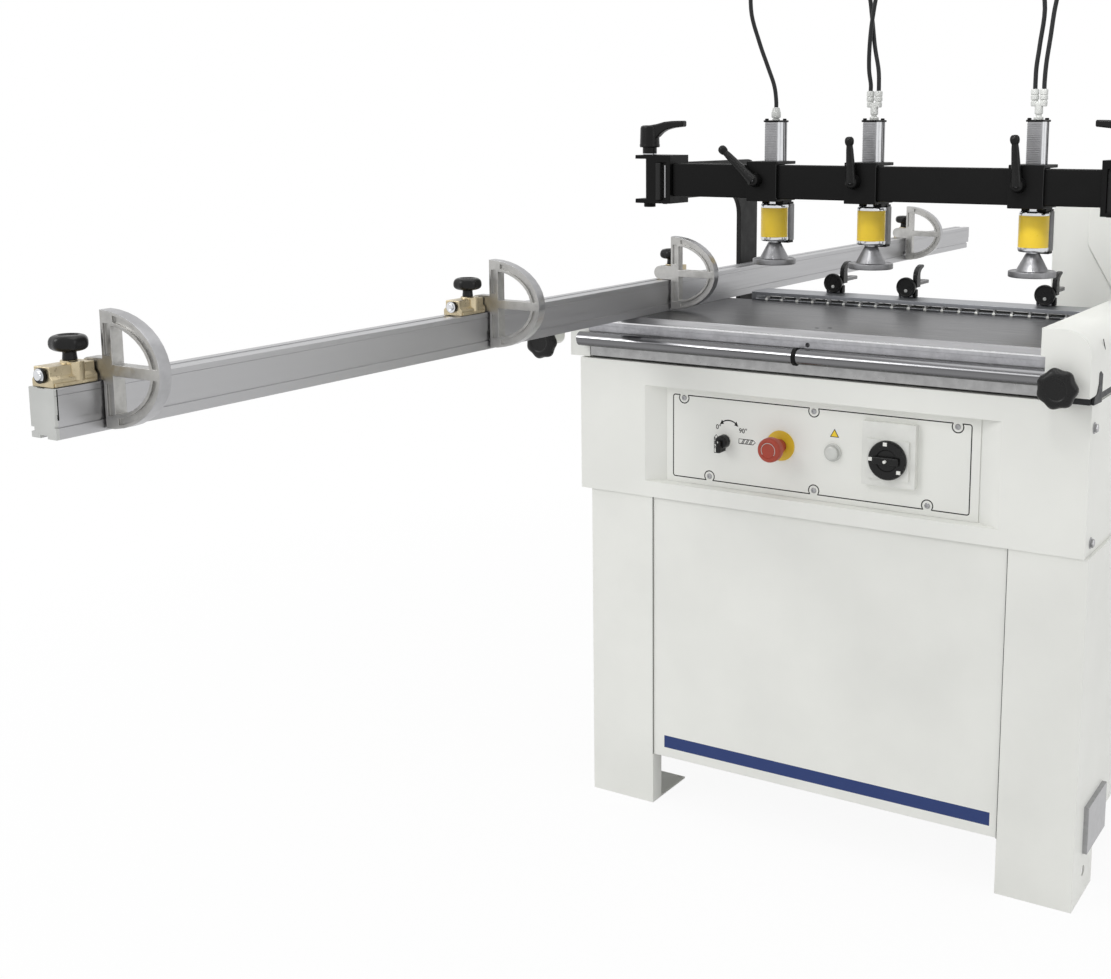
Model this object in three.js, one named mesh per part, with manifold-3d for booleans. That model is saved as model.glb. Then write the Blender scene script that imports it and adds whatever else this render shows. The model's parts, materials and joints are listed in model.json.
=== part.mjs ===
// Dowel boring machine, in millimetres, +Z up, +X to the right along the front, +Y to the rear.
import * as THREE from "three";
import { mergeVertices } from "three/addons/utils/BufferGeometryUtils.js";
import Module from "manifold-3d";

// General
const seat = 0.3;
const overrun = 20;
const sheet = 3;
const weld = 0.001;
const sliver = 0.02;
const fineSides = 32;
const midSides = 20;
const smallSides = 12;
const hoseSides = 8;

// Cabinet base
const baseLeft = 19.6;
const baseWide = 898.4;
const baseRight = baseLeft + baseWide;
const baseFront = 4;
const baseDeep = 796;
const baseRear = baseFront + baseDeep;
const baseTop = 580.7;
const legWide = 128.5;
const legInnerLeft = baseLeft + legWide;
const rightLegWide = 125.1;
const legInnerRight = baseRight - rightLegWide;
const legReturn = 30.9;
const footDepth = 120;
const sideClear = 104;
const topFlange = 28;
const footHoleY = 68.5;
const footHoleZ = 44;
const footHoleRadius = 9;
const latchFront = 56;
const latchDeep = 114;
const latchRear = latchFront + latchDeep;
const latchBottom = 79;
const latchTall = 79;
const latchTop = latchBottom + latchTall;
const latchThick = 8;

// Front panel
const panelBottom = 95;
const panelFront = 6;
const panelFold = 15;

// Upper body
const upperFront = 40;
const upperBottom = baseTop + seat;
const upperInset = 8.8;
const upperRight = baseRight - upperInset;
const upperStepY = 345;
const earFront = 438;
const earDeep = 54;
const earRear = earFront + earDeep;
const earTop = 884;

// Apron
const apronRight = upperRight + sheet + seat;
const apronTop = 821;
const apronBack = 345;
const recessLeft = 135;
const recessWide = 642;
const recessRight = recessLeft + recessWide;
const recessBottom = 609.3;
const recessTall = 172.3;
const recessTop = recessBottom + recessTall;
const trayMargin = 14;
const trayBack = 25;
const plateLeft = 168;
const plateWide = 570;
const plateRight = plateLeft + plateWide;
const plateBottom = 610.5;
const plateTall = 167.5;
const plateTop = plateBottom + plateTall;
const plateFront = 20;
const plateThick = 2;

// Controls
const selectorX = 284;
const selectorZ = 694;
const selectorRadius = 12;
const selectorBase = 3;
const selectorReach = 24;
const gripHalf = 4;
const gripReach = 17;
const estopX = 390.5;
const estopZ = 697.2;
const estopRing = 26;
const ringThick = 2;
const estopHead = 21;
const estopFront = -29;
const estopHeadDepth = 19;
const estopNeck = 13;
const estopStem = 11;
const stemLong = 3;
const stemEnd = plateFront + plateThick + stemLong;
const boreGap = 0.5;
const lampX = 487;
const lampZ = 696.3;
const lampBezel = 15;
const lampBezelThick = 4;
const lampHead = 11.5;
const lampFront = 9;
const lampStem = 9;
const switchX = 590;
const switchZ = 698;
const switchLeft = 543;
const switchWide = 92;
const switchRight = switchLeft + switchWide;
const switchBottom = 652.9;
const switchTall = 105.3;
const switchTop = switchBottom + switchTall;
const switchRaise = 12;
const switchInset = 10;
const switchInner = 4;
const switchKnob = 32.6;
const switchKnobFront = -14;
const switchKnobBase = -2;
const switchGrip = 9;
const switchGripRise = 7;
const thinStem = 5;

// Table and its front rails
const tableLeft = 19;
const tableWide = 821.4;
const tableRight = tableLeft + tableWide;
const tableFront = -4;
const tableDeep = 352.7;
const tableRear = tableFront + tableDeep;
const tableTop = 900;
const tableThick = 29.9;
const tableBevel = 7;
const tableBevelDrop = 10.5;
const tableStepDrop = 18.4;
const tableStep = 2;
const tablePinRadius = 4;
const tablePinDepth = 8;
const tablePinX = [446.8, 465.4];
const tablePinY = [35.4, 46.3];
const tableEdgeHoleX = 447.3;
const tableEdgeHoleZ = 876;
const rodLeft = 6.3;
const rodY = -13;
const rodZ = 857.2;
const rodRadius = 12.6;
const collarX = 429;
const collarWide = 6;
const collarRadius = 15.2;
const railLeft = 19;
const railFront = 3;
const railDeep = 17;
const railBack = railFront + railDeep;
const railBottom = 825;
const railTop = tableTop - tableThick - seat;

// Rear fence and stop rail
const fenceLeft = 166.5;
const fenceWide = 672;
const fenceRight = fenceLeft + fenceWide;
const fenceFront = tableRear + seat;
const fenceDeep = 12;
const fenceBack = fenceFront + fenceDeep;
const fenceBottom = 872;
const fenceTop = 915.5;
const slotBottom = 902.5;
const slotTall = 7;
const slotTop = slotBottom + slotTall;
const slotMargin = 9.5;
const stopRailBack = 417;
const stopRailWeb = 3;
const stopRailFoot = 9;
const stopRailBottom = 884;

// End castings
const rightInner = tableRight + seat;
const rightStepWide = 6.8;
const rightStepX = rightInner + rightStepWide;
const rodRight = rightStepX - seat;
const railRight = rightStepX - seat;
const rightOuter = 916;
const rightFront = -30;
const rightBack = 420;
const rightBottom = 834;
const rightStepZ = 892.3;
const rightTop = 935;
const rightFlat = 876.7;
const rightShoulder = 899;
const rightCurveSteps = 8;
const castingWall = 8;
const leftOuter = -113;
const leftMid = -22;
const leftInner = tableLeft - seat;
const leftFront = 2;
const leftBack = 340;
const leftBottom = 823.3;
const leftMidBottom = 868;
const leftTop = 899.5;

// Lobed hand knobs
const lobeRadius = 33;
const lobeShare = 0.07;
const lobeCount = 7;
const lobeSteps = 6;
const lobeThick = 22;
const lobeHub = 12;
const lobeHubLong = 8;
const lobeCap = 15;
const lobeCapRise = 3;
const lobePin = 4;
const lobePinLong = 6;
const rightKnobX = 872;
const rightKnobZ = 849.2;
const leftKnobX = -72;
const leftKnobZ = 846;
const leftLugDrop = 852;
const rearKnobX = 874;
const rearKnobY = 345;
const rearKnobShare = 0.78;

// Rear housing
const housingLeft = 670;
const housingCreaseWide = 72;
const housingCrease = housingLeft + housingCreaseWide;
const housingFront = 600;
const housingCornerDeep = 22;
const housingCornerY = housingFront + housingCornerDeep;
const housingTall = 281.5;
const housingBottom = 833.5;
const housingTop = housingBottom + housingTall;
const housingRight = upperRight;

// Fence bar
const barLeft = 79;
const barWide = 40.6;
const barRight = barLeft + barWide;
const barBottom = 900.3;
const barTall = 55.3;
const barTop = barBottom + barTall;
const barFront = -1188;
const barLong = 2950;
const barRear = barFront + barLong;
const barGrooveLow = 912.8;
const barGrooveHigh = 915.2;
const barGrooveDeep = 2;
const barStepZ = 927.7;
const barStepDeep = 0.8;
const barSideSlotLow = 907;
const barSideSlotHigh = 912;
const barSideSlotDeep = 5;
const barUnderLeft = 93;
const barUnderRight = 105;
const barUnderDeep = 3.5;
const barWall = 3.5;
const barFloor = 917.5;
const barCap = 4;
const barNotch = 14;

// Flip stops on the bar
const stopInsets = [62, 759.5];
const stopRearInsets = [1650, 485.5];
const stopPlaces = [
  ...stopInsets.map((inset) => barFront + inset),
  ...stopRearInsets.map((inset) => barRear - inset),
];
const stopSides = [-1, -1, 1, 1];
const stopCount = 4;
const stopAxisX = 99.4;
const stopAxisZ = 968.6;
const sectorDeep = 16;
const spineLeft = 122.2;
const spineWide = 16;
const spineRight = spineLeft + spineWide;
const sectorReach = 90;
const sectorHalf = 66;
const sectorRim = 15;
const sectorSteps = 20;
const spokeHalf = 6.2;
const pocketDeep = 3;
const pocketMargin = 4;
const hubRadius = 12.2;
const blockNear = 2;
const blockLong = 58;
const blockLeft = 83;
const blockWide = 33;
const blockRight = blockLeft + blockWide;
const blockBottom = 955.9;
const blockShoulder = 964;
const blockTop = 978;
const blockInset = 4;
const bossRadius = 10;
const bossTop = 981;
const shaftRadius = 5;
const shaftGap = 0.4;
const shaftPast = 66;
const sleeveRadius = 8.5;
const sleevePast = 61.5;
const knobOffset = 24;
const stopKnobStem = 6.5;
const stopKnobLift = 8;
const stopKnobUnder = bossTop + stopKnobLift;
const stopKnobTall = 19.5;
const stopKnobTop = stopKnobUnder + stopKnobTall;
const stopKnobRadius = 22;
const stopKnobLobeShare = 0.06;
const stopKnobRound = 4;
const stopKnobPin = 3;
const stopKnobPinEnd = 975.2;

// Press beam, arms and brackets
const pressOffset = 0.8;
const pressCentre = (baseLeft + baseRight) / 2 - pressOffset;
const beamLeft = 74.3;
const beamRight = 2 * pressCentre - beamLeft;
const beamFront = 200;
const beamDeep = 25;
const beamBack = beamFront + beamDeep;
const beamBottom = 1102;
const beamTall = 60;
const beamTop = beamBottom + beamTall;
const beamWall = 4;
const armLeft = 45;
const armThick = 10;
const armRight = armLeft + armThick;
const armFront = 188;
const armInner = 515;
const armDeep = 76;
const armRear = armInner + armDeep;
const armBottom = 640;
const armUnder = 1094.3;
const armTall = 68.7;
const armTop = armUnder + armTall;
const armInnerRound = 42;
const armOuterRound = 40;
const armRoundSteps = 6;
const armFootInner = 22.9;
const armFootInset = 13;
const armFootFront = armInner + armFootInset;
const armFootDeep = 50;
const armFootRear = armFootFront + armFootDeep;
const armFootTall = 160;
const armFootTop = armBottom + armFootTall;
const bracketLeft = -1;
const bracketRight = beamLeft - seat;
const bracketFront = 192;
const bracketDeep = 70;
const bracketBack = bracketFront + bracketDeep;
const bracketSole = 6;
const bracketFloor = armUnder - seat;
const bracketBottom = bracketFloor - bracketSole;
const bracketLid = 13.7;
const bracketRoof = armTop + seat;
const bracketTop = bracketRoof + bracketLid;
const bracketSlotRight = 65;
const bracketCheek = 26;
const bracketCheekStep = 2;
const bracketCheekLow = bracketFloor + bracketCheekStep;
const bracketCheekDrop = 7;
const bracketCheekHigh = bracketTop - bracketCheekDrop;
const boltX = 16.5;
const boltY = 216;
const boltRadius = 7.5;
const boltNutRadius = 11;
const boltNutTall = 8;
const boltNutBottom = bracketBottom - boltNutTall;
const boltTop = bracketTop + seat;
const handleStem = 13;
const handleStemTall = 12.7;
const handleStemTop = boltTop + handleStemTall;
const handleHub = 19;
const handleHubTall = 53.7;
const handleHubTop = boltTop + handleHubTall;
const handleHubNeck = 17;
const handleReach = 75;
const handleTipDrop = 2;
const handleTipLow = handleHubTop - handleTipDrop;
const handleTipTall = 11;
const handleTipHigh = handleTipLow + handleTipTall;
const handleRootTall = 23;
const handleRootLow = handleHubTop - handleRootTall;
const handleRootHigh = handleHubTop;
const handleHalf = 7;
const handleWaistShare = 0.55;
const handleBackShare = 0.6;
const inletInset = 9;
const inletX = 2 * pressCentre - bracketLeft - inletInset;
const inletY = 250;
const inletRadius = 7;
const inletTall = 23;
const inletTop = bracketTop + inletTall;

// Press units
const unitInsets = [186.7, 376.2];
const unitRightInset = 121.7;
const unitPlaces = [...unitInsets.map((inset) => beamLeft + inset), beamRight - unitRightInset];
const unitCount = 3;
const sleeveWall = 5.7;
const sleeveFront = beamFront - seat - sleeveWall;
const sleeveDeep = 81;
const sleeveBack = sleeveFront + sleeveDeep;
const sleeveHalf = 29.5;
const sleeveSole = 4.7;
const sleeveBottom = beamBottom - seat - sleeveSole;
const sleeveTop = beamTop + seat + sleeveWall;
const cylinderY = 252;
const strapThick = 5;
const upperHalf = 21;
const upperTall = 69;
const upperTop = sleeveTop + upperTall;
const capThick = 3.5;
const capTop = upperTop + capThick;
const ribRight = 1;
const tubeOffset = 8;
const tubeRadius = 9;
const tieOffset = 18;
const tieRadius = 3;
const neckRadius = 17;
const barrelDrop = 6;
const barrelTop = sleeveBottom - barrelDrop;
const barrelTall = 68;
const barrelBottom = barrelTop - barrelTall;
const barrelRadius = 25.5;
const guardInner = 12;
const guardWide = 23.5;
const guardOuter = guardInner + guardWide;
const guardFront = 262;
const guardDeep = 19;
const guardBack = guardFront + guardDeep;
const footRodRadius = 7;
const footBoreGap = 0.5;
const footRodDrop = 28;
const footRodTop = sleeveTop - footRodDrop;
const footBoreRoom = 10;
const footBoreTop = footRodTop + footBoreRoom;
const footGap = 2;
const footConeTop = barrelBottom - footGap;
const footConeTopRadius = 11;
const footConeRadius = 26.5;
const footDiscBottom = 981;
const footDiscThick = 9;
const footDiscTop = footDiscBottom + footDiscThick;
const footConeRise = 1;
const footConeLow = footDiscTop + footConeRise;
const footDiscRadius = 40;
const footDiscEdge = 1.5;
const fittingStem = 5;
const singleBody = 8.5;
const singleRise = 3.5;
const singleLow = capTop + singleRise;
const singleTall = 19;
const singleTop = singleLow + singleTall;
const singleNeck = 6;
const forkRise = 21.5;
const forkLow = capTop + forkRise;
const forkBodyTall = 18;
const forkMid = forkLow + forkBodyTall;
const forkPortTall = 10;
const forkTop = forkMid + forkPortTall;
const forkHalf = 14;
const forkDeep = 7;
const forkPort = 6.5;
const forkSpread = 7.5;

// Clamp levers on the press units
const leverOffset = -11;
const leverZ = 1135;
const leverHub = 11;
const leverHubFront = 176;
const leverRoot = 7;
const leverTip = 5.5;
const leverBall = 7.5;
const leverPlateFront = 178;
const leverThick = 9;
const leverPlateBack = leverPlateFront + leverThick;
const leverTipX = [-61, -5, -6];
const leverTipZ = [53, 70, 74];
const leverPin = 4;
const leverPinEnd = 198;

// Rear stops
const rearStopPlaces = [315, 462, 722];
const rearStopCount = 3;
const rearBaseHalf = 17;
const rearBaseFront = 404;
const rearBaseDeep = 13;
const rearBaseBack = rearBaseFront + rearBaseDeep;
const rearBaseBottom = fenceTop + seat;
const rearBaseTall = 18.9;
const rearBaseTop = rearBaseBottom + rearBaseTall;
const slotBarHalf = 10;
const slotBarFront = 402.5;
const slotBarBack = 502;
const slotBarLow = rearBaseTop + seat;
const slotBarThick = 4;
const slotBarHigh = slotBarLow + slotBarThick;
const slotHoleHalf = 3.2;
const slotHoleFront = 432;
const slotHoleMargin = 8;
const slotHoleBack = slotBarBack - slotHoleMargin;
const discFront = 394;
const discRadius = 18.5;
const discZ = 934.8;
const camHalf = 3;
const camOffset = 13.4;
const camLow = 934.6;
const camRound = 8;
const camTipY = 424;
const camTipZ = 968;
const camTipRound = 5;
const camY = 414;
const camZ = 942;

// Tilting head
const pivotY = 465;
const pivotZ = 860;
const pivotRadius = 12;
const pivotGap = 0.5;
const cradleLeftInset = 140.4;
const cradleLeft = baseLeft + cradleLeftInset;
const cradlePlate = 9.5;
const cradleRightInset = 64.2;
const cradleRight = upperRight - cradleRightInset;
const cradleFrontOffset = -40;
const cradleRearOffset = 80;
const cradleLowOffset = -100;
const cradleHighOffset = 18;
const cradleBeamDeep = 16;
const cradleBeamTall = 40;
const cradleRib = 5;
const cradleRibLong = 5.5;
const headFrontOffset = 21;
const headDeep = 50;
const headLowOffset = -99;
const headTall = 44;
const headInset = 7;
const ribGap = 0.4;
const spindleMargin = 22.5;
const spindleFirst = cradleLeft + spindleMargin;
const spindlePitch = 32;
const spindleRoom = cradleRight - spindleMargin + seat - spindleFirst;
const spindleCount = Math.floor(spindleRoom / spindlePitch) + 1;
const spindleRadius = 6;
const spindleOffset = 46;
const spindleTopOffset = -15;
const bitRadius = 2.5;
const bitTopOffset = 40;
const motorInset = 253;
const motorX = cradleRight - motorInset;
const motorRadius = 52;
const motorLong = 150;

// Hoses
const hoseRadius = 3.75;
const hoseStepLong = 18;
const hoseOnePath = [
  [261, 252, 1263.3],
  [261, 252, 1272],
  [257, 252, 1300],
  [243, 252, 1336],
  [226, 252, 1378],
  [208, 252, 1438],
  [214, 254, 1505],
  [262, 257, 1562],
  [338, 259, 1568],
  [400, 259, 1525],
  [432, 258, 1460],
  [440, 258, 1415],
  [447, 257, 1365],
  [456, 254, 1325],
  [458, 252, 1301],
  [458, 252, 1290.3],
];
const hoseTwoPath = [
  [443, 252, 1290.3],
  [443, 252, 1301],
  [440, 250, 1325],
  [441, 247, 1365],
  [446, 246, 1415],
  [458, 246, 1470],
  [500, 248, 1545],
  [580, 250, 1583],
  [660, 251, 1560],
  [716, 252, 1500],
  [742, 252, 1430],
  [737, 252, 1360],
  [733, 252, 1325],
  [732.5, 252, 1301],
  [732.5, 252, 1290.3],
];
const hoseThreePath = [
  [747.5, 252, 1290.3],
  [747.5, 252, 1301],
  [749, 252, 1330],
  [754, 252, 1372],
  [761, 252, 1428],
  [778, 252, 1490],
  [818, 252, 1532],
  [870, 252, 1520],
  [908, 251, 1455],
  [924, 250, 1370],
  [928, 250, 1285],
  [928, 250, 1215],
  [928, 250, 1200.3],
];

const wasm = await Module();
wasm.setup();

function closedSolid(geometry) {
  const bare = new THREE.BufferGeometry();
  bare.setAttribute("position", geometry.getAttribute("position"));
  if (geometry.index) bare.setIndex(geometry.index);
  const merged = mergeVertices(bare, weld);
  const corners = merged.index.array;
  const kept = [];
  for (let i = 0; i < corners.length; i += 3) {
    const [a, b, c] = [corners[i], corners[i + 1], corners[i + 2]];
    if (a !== b && b !== c && a !== c) kept.push(a, b, c);
  }
  const build = (triVerts) =>
    new wasm.Manifold(
      new wasm.Mesh({
        numProp: 3,
        vertProperties: new Float32Array(merged.attributes.position.array),
        triVerts: new Uint32Array(triVerts),
      }),
    );
  const made = build(kept);
  if (made.volume() >= 0) return made;
  const turned = [];
  for (let i = 0; i < kept.length; i += 3) turned.push(kept[i], kept[i + 2], kept[i + 1]);
  return build(turned);
}

// Axis frames: an outline's two coordinates are (y, z) along x, (x, z) along y and (x, y) along z.
const axisFrames = {
  x: new THREE.Matrix4().set(0, 0, 1, 0, 1, 0, 0, 0, 0, 1, 0, 0, 0, 0, 0, 1),
  y: new THREE.Matrix4().set(1, 0, 0, 0, 0, 0, 1, 0, 0, 1, 0, 0, 0, 0, 0, 1),
  z: new THREE.Matrix4(),
};

function block(x0, x1, y0, y1, z0, z1) {
  const geometry = new THREE.BoxGeometry(x1 - x0, y1 - y0, z1 - z0);
  geometry.translate((x0 + x1) / 2, (y0 + y1) / 2, (z0 + z1) / 2);
  return closedSolid(geometry);
}

function prism(axis, outline, from, to) {
  const shape = new THREE.Shape(outline.map(([u, v]) => new THREE.Vector2(u, v)));
  const geometry = new THREE.ExtrudeGeometry(shape, { depth: to - from, bevelEnabled: false });
  geometry.translate(0, 0, from);
  geometry.applyMatrix4(axisFrames[axis]);
  return closedSolid(geometry);
}

function circle(u, v, radius, sides, phase = 0) {
  return Array.from({ length: sides }, (_, i) => {
    const angle = phase + (2 * Math.PI * i) / sides;
    return [u + radius * Math.cos(angle), v + radius * Math.sin(angle)];
  });
}

function rod(axis, u, v, radius, from, to, sides = midSides) {
  return prism(axis, circle(u, v, radius, sides), from, to);
}

// A turned body: the profile is a list of [radius, place along the axis].
function turned(axis, u, v, profile, sides = midSides) {
  const points = profile.map(([r, h]) => new THREE.Vector2(r, h));
  const geometry = new THREE.LatheGeometry(points, sides);
  geometry.rotateX(Math.PI / 2);
  geometry.translate(u, v, 0);
  geometry.applyMatrix4(axisFrames[axis]);
  return closedSolid(geometry);
}

function arc(cu, cv, ru, rv, from, to, steps) {
  return Array.from({ length: steps + 1 }, (_, i) => {
    const angle = from + ((to - from) * i) / steps;
    return [cu + ru * Math.cos(angle), cv + rv * Math.sin(angle)];
  });
}

const join = (...solids) => solids.reduce((a, b) => a.add(b));
const cut = (body, ...tools) => tools.reduce((a, b) => a.subtract(b), body);
const rectangle = (u0, u1, v0, v1) => [[u0, v0], [u1, v0], [u1, v1], [u0, v1]];

function mirrored(solid, centre) {
  return solid.mirror([1, 0, 0]).translate([2 * centre, 0, 0]);
}

function hull(outlineA, outlineB) {
  const points = [...outlineA, ...outlineB];
  const start = points.reduce((a, b) => (b[0] < a[0] ? b : a));
  const ring = [];
  let at = start;
  do {
    ring.push(at);
    let next = points[0];
    for (const p of points) {
      const side = (next[0] - at[0]) * (p[1] - at[1]) - (next[1] - at[1]) * (p[0] - at[0]);
      if (next === at || side < 0) next = p;
    }
    at = next;
  } while (at !== start && ring.length < points.length);
  return ring;
}

// Paints and metals
const paint = (color, metalness, roughness) =>
  new THREE.MeshStandardMaterial({ color, metalness, roughness });
const white = () => paint(0xe6e7e2, 0, 0.45);
const black = () => paint(0x1b1b1c, 0, 0.5);
const steel = () => paint(0x9a9b9e, 0.9, 0.35);
const darkSteel = () => paint(0x5c5d61, 0.9, 0.4);
const aluminium = () => paint(0xbfc0c2, 0.9, 0.4);
const brass = () => paint(0xb59a5b, 0.9, 0.35);

const body = new THREE.Group();
const hosePieces = [];

function piece(name, solid, material) {
  const mesh = solid.simplify(sliver).getMesh();
  const stride = mesh.numProp;
  const places = new Float32Array(mesh.numVert * 3);
  for (let i = 0; i < mesh.numVert; i++) {
    places.set(mesh.vertProperties.subarray(i * stride, i * stride + 3), i * 3);
  }
  const geometry = new THREE.BufferGeometry();
  geometry.setAttribute("position", new THREE.BufferAttribute(places, 3));
  geometry.setIndex(new THREE.BufferAttribute(new Uint32Array(mesh.triVerts), 1));
  const made = new THREE.Mesh(geometry, material);
  made.name = name;
  body.add(made);
  return made;
}

// Cabinet base: folded side and rear walls, two front legs with returns, a top flange
const shellBox = (x0, x1, y0, y1, z0, z1, wall) =>
  cut(
    block(x0, x1, y0, y1, z0, z1),
    block(x0 + wall, x1 - wall, y0 + wall, y1 - wall, z0 - overrun, z1 + overrun),
  );
let baseFrame = shellBox(baseLeft, baseRight, baseFront, baseRear, 0, baseTop, sheet);
const flangeRing = cut(
  block(baseLeft, baseRight, baseFront, baseRear, baseTop - sheet, baseTop),
  block(
    baseLeft + topFlange,
    baseRight - topFlange,
    baseFront - overrun,
    baseRear - topFlange,
    baseTop - overrun,
    baseTop + overrun,
  ),
);
baseFrame = join(
  baseFrame,
  flangeRing,
  block(legInnerLeft - sheet, legInnerLeft, baseFront, baseFront + legReturn, 0, baseTop),
  block(legInnerRight, legInnerRight + sheet, baseFront, baseFront + legReturn, 0, baseTop),
  ...[baseFront, baseRear - footDepth].flatMap((y) => [
    block(baseLeft, legInnerLeft, y, y + footDepth, 0, sheet),
    block(legInnerRight, baseRight, y, y + footDepth, 0, sheet),
  ]),
  block(baseRight - sheet, baseRight + latchThick, latchFront, latchRear, latchBottom, latchTop),
);
baseFrame = cut(
  baseFrame,
  block(legInnerLeft, legInnerRight, baseFront - overrun, baseFront + overrun, -overrun, baseTop + overrun),
  block(
    baseLeft - overrun,
    baseRight - sheet - seat,
    baseFront + footDepth,
    baseRear - footDepth,
    -overrun,
    sideClear,
  ),
  block(
    baseRight - sheet - seat,
    baseRight + overrun,
    latchRear,
    baseRear - footDepth,
    -overrun,
    sideClear,
  ),
  block(
    baseRight - sheet - seat,
    baseRight + overrun,
    baseFront + footDepth,
    latchRear,
    -overrun,
    latchBottom,
  ),
  block(legInnerLeft, legInnerRight, baseRear - overrun, baseRear + overrun, -overrun, sideClear),
  rod("x", footHoleY, footHoleZ, footHoleRadius, baseRight - overrun, baseRight + overrun, smallSides),
);
piece("base_frame", baseFrame, white());

// Front panel: a folded sheet between the legs
const panelLeft = legInnerLeft + seat;
const panelRight = legInnerRight - seat;
const panelTop = baseTop - seat;
const frontPanel = cut(
  block(panelLeft, panelRight, panelFront, panelFront + panelFold, panelBottom, panelTop),
  block(
    panelLeft + sheet,
    panelRight - sheet,
    panelFront + sheet,
    panelFront + panelFold + overrun,
    panelBottom + sheet,
    panelTop - sheet,
  ),
);
piece("front_panel", frontPanel, white());

// Upper body: the walls that carry the table, the castings and the head's pivots
const aboveFront = (frontTop, stepY) => [
  [upperFront - overrun, frontTop],
  [stepY, frontTop],
  [stepY, rearSeat],
  [earFront, rearSeat],
  [earFront, earTop + overrun],
  [upperFront - overrun, earTop + overrun],
];
const tableSeat = tableTop - tableThick - seat;
const castingSeat = rightBottom - seat;
const rearSeat = housingBottom - seat;
const frontWallStep = tableRight - overrun;
const upperBody = cut(
  shellBox(baseLeft, upperRight, upperFront, baseRear, upperBottom, earTop, sheet),
  prism("x", aboveFront(tableSeat, upperStepY), baseLeft - overrun, frontWallStep),
  prism("x", aboveFront(castingSeat, rightBack), frontWallStep, upperRight + overrun),
  block(
    baseLeft - overrun,
    upperRight + overrun,
    earRear,
    baseRear + overrun,
    rearSeat,
    earTop + overrun,
  ),
  rod("x", pivotY, pivotZ, pivotRadius + pivotGap, baseLeft - overrun, upperRight + overrun),
);
piece("upper_body", upperBody, white());

// Apron: a hood over the front, with a sloped recess for the control plate
const slope = (x0, x1, z0, z1, y) => rectangle(x0, x1, z0, z1).map(([x, z]) => [x, y, z]);
function frustum(near, far) {
  const geometry = new THREE.BufferGeometry();
  const corners = [...near, ...far].flat();
  geometry.setAttribute("position", new THREE.BufferAttribute(new Float32Array(corners), 3));
  geometry.setIndex([
    0, 1, 2, 0, 2, 3, 4, 6, 5, 4, 7, 6, 0, 5, 1, 0, 4, 5, 1, 6, 2, 1, 5, 6, 2, 7, 3, 2, 6, 7, 3, 4,
    0, 3, 7, 4,
  ]);
  return closedSolid(geometry);
}
const trayDepth = plateFront + plateThick + seat;
const recess = frustum(
  slope(recessLeft, recessRight, recessBottom, recessTop, 0),
  slope(plateLeft - seat, plateRight + seat, plateBottom - seat, plateTop + seat, trayDepth),
);
const recessMouth = block(recessLeft, recessRight, -overrun, seat, recessBottom, recessTop);
const controlBores = [
  [selectorX, selectorZ, thinStem],
  [estopX, estopZ, estopStem],
  [lampX, lampZ, lampStem],
  [switchX, switchZ, thinStem],
].map(([x, z, r]) => rod("y", x, z, r + boreGap, switchKnobFront, trayBack + overrun));
let apron = cut(
  block(0, apronRight, 0, apronBack, upperBottom, apronTop),
  block(sheet, apronRight - sheet, sheet, apronBack + overrun, upperBottom - overrun, apronTop - sheet),
  block(
    sheet + overrun,
    apronRight - sheet - overrun,
    upperFront - sheet,
    apronBack + overrun,
    upperBottom - overrun,
    apronTop + overrun,
  ),
  block(-overrun, apronRight + overrun, upperFront - sheet, apronBack + overrun, apronTop - sheet, apronTop + overrun),
);
apron = join(
  apron,
  block(
    recessLeft - trayMargin,
    recessRight + trayMargin,
    0,
    trayBack,
    recessBottom - trayMargin,
    recessTop + trayMargin,
  ),
);
apron = cut(apron, recess, recessMouth, ...controlBores);
piece("apron", apron, white());

// Control plate with the stop's collar, the lamp's bezel and the switch's base
let controlPlate = join(
  block(plateLeft, plateRight, plateFront, plateFront + plateThick, plateBottom, plateTop),
  rod("y", estopX, estopZ, estopRing, plateFront - ringThick, plateFront + plateThick, fineSides),
  rod("y", lampX, lampZ, lampBezel, plateFront - lampBezelThick, plateFront + plateThick),
  rod("y", selectorX, selectorZ, selectorRadius, plateFront - selectorBase, plateFront + plateThick),
  block(
    switchLeft,
    switchRight,
    plateFront - switchRaise,
    plateFront + plateThick,
    switchBottom,
    switchTop,
  ),
  block(
    switchLeft + switchInset,
    switchRight - switchInset,
    plateFront - switchRaise - switchInner,
    plateFront + plateThick,
    switchZ - switchKnob,
    switchZ + switchKnob,
  ),
);
controlPlate = cut(controlPlate, ...controlBores);
piece("control_plate", controlPlate, white());

// Selector, emergency stop, push button and main switch
const selectorFace = plateFront - selectorBase - seat;
const selectorKnob = join(
  rod("y", selectorX, selectorZ, selectorRadius, selectorFace - gripHalf, selectorFace),
  rod("y", selectorX, selectorZ, thinStem, selectorFace - gripHalf, stemEnd, smallSides),
  block(
    selectorX - gripHalf,
    selectorX + gripHalf,
    selectorFace - selectorReach,
    selectorFace,
    selectorZ - gripReach,
    selectorZ + selectorRadius,
  ),
);
piece("selector_knob", selectorKnob, black());
const stopHeadBack = estopFront + estopHeadDepth;
const estop = turned("y", estopX, estopZ, [
  [0, estopFront],
  [estopNeck, estopFront],
  [estopHead - thinStem / 2, estopFront + thinStem / 2],
  [estopHead, estopFront + thinStem],
  [estopHead, stopHeadBack - thinStem],
  [estopNeck, stopHeadBack],
  [estopStem, stopHeadBack],
  [estopStem, stemEnd],
  [0, stemEnd],
], fineSides);
piece("estop_button", estop, paint(0xb3322e, 0, 0.4));
const lampButton = turned("y", lampX, lampZ, [
  [0, lampFront],
  [lampStem, lampFront],
  [lampHead, lampFront + lampBezelThick / 2],
  [lampHead, plateFront - lampBezelThick - lampBezelThick],
  [lampStem, plateFront - lampBezelThick - lampBezelThick],
  [lampStem, stemEnd],
  [0, stemEnd],
]);
piece("lamp_button", lampButton, paint(0xd5d6d2, 0, 0.4));
const switchFace = plateFront - switchRaise - switchInner - seat;
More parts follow.
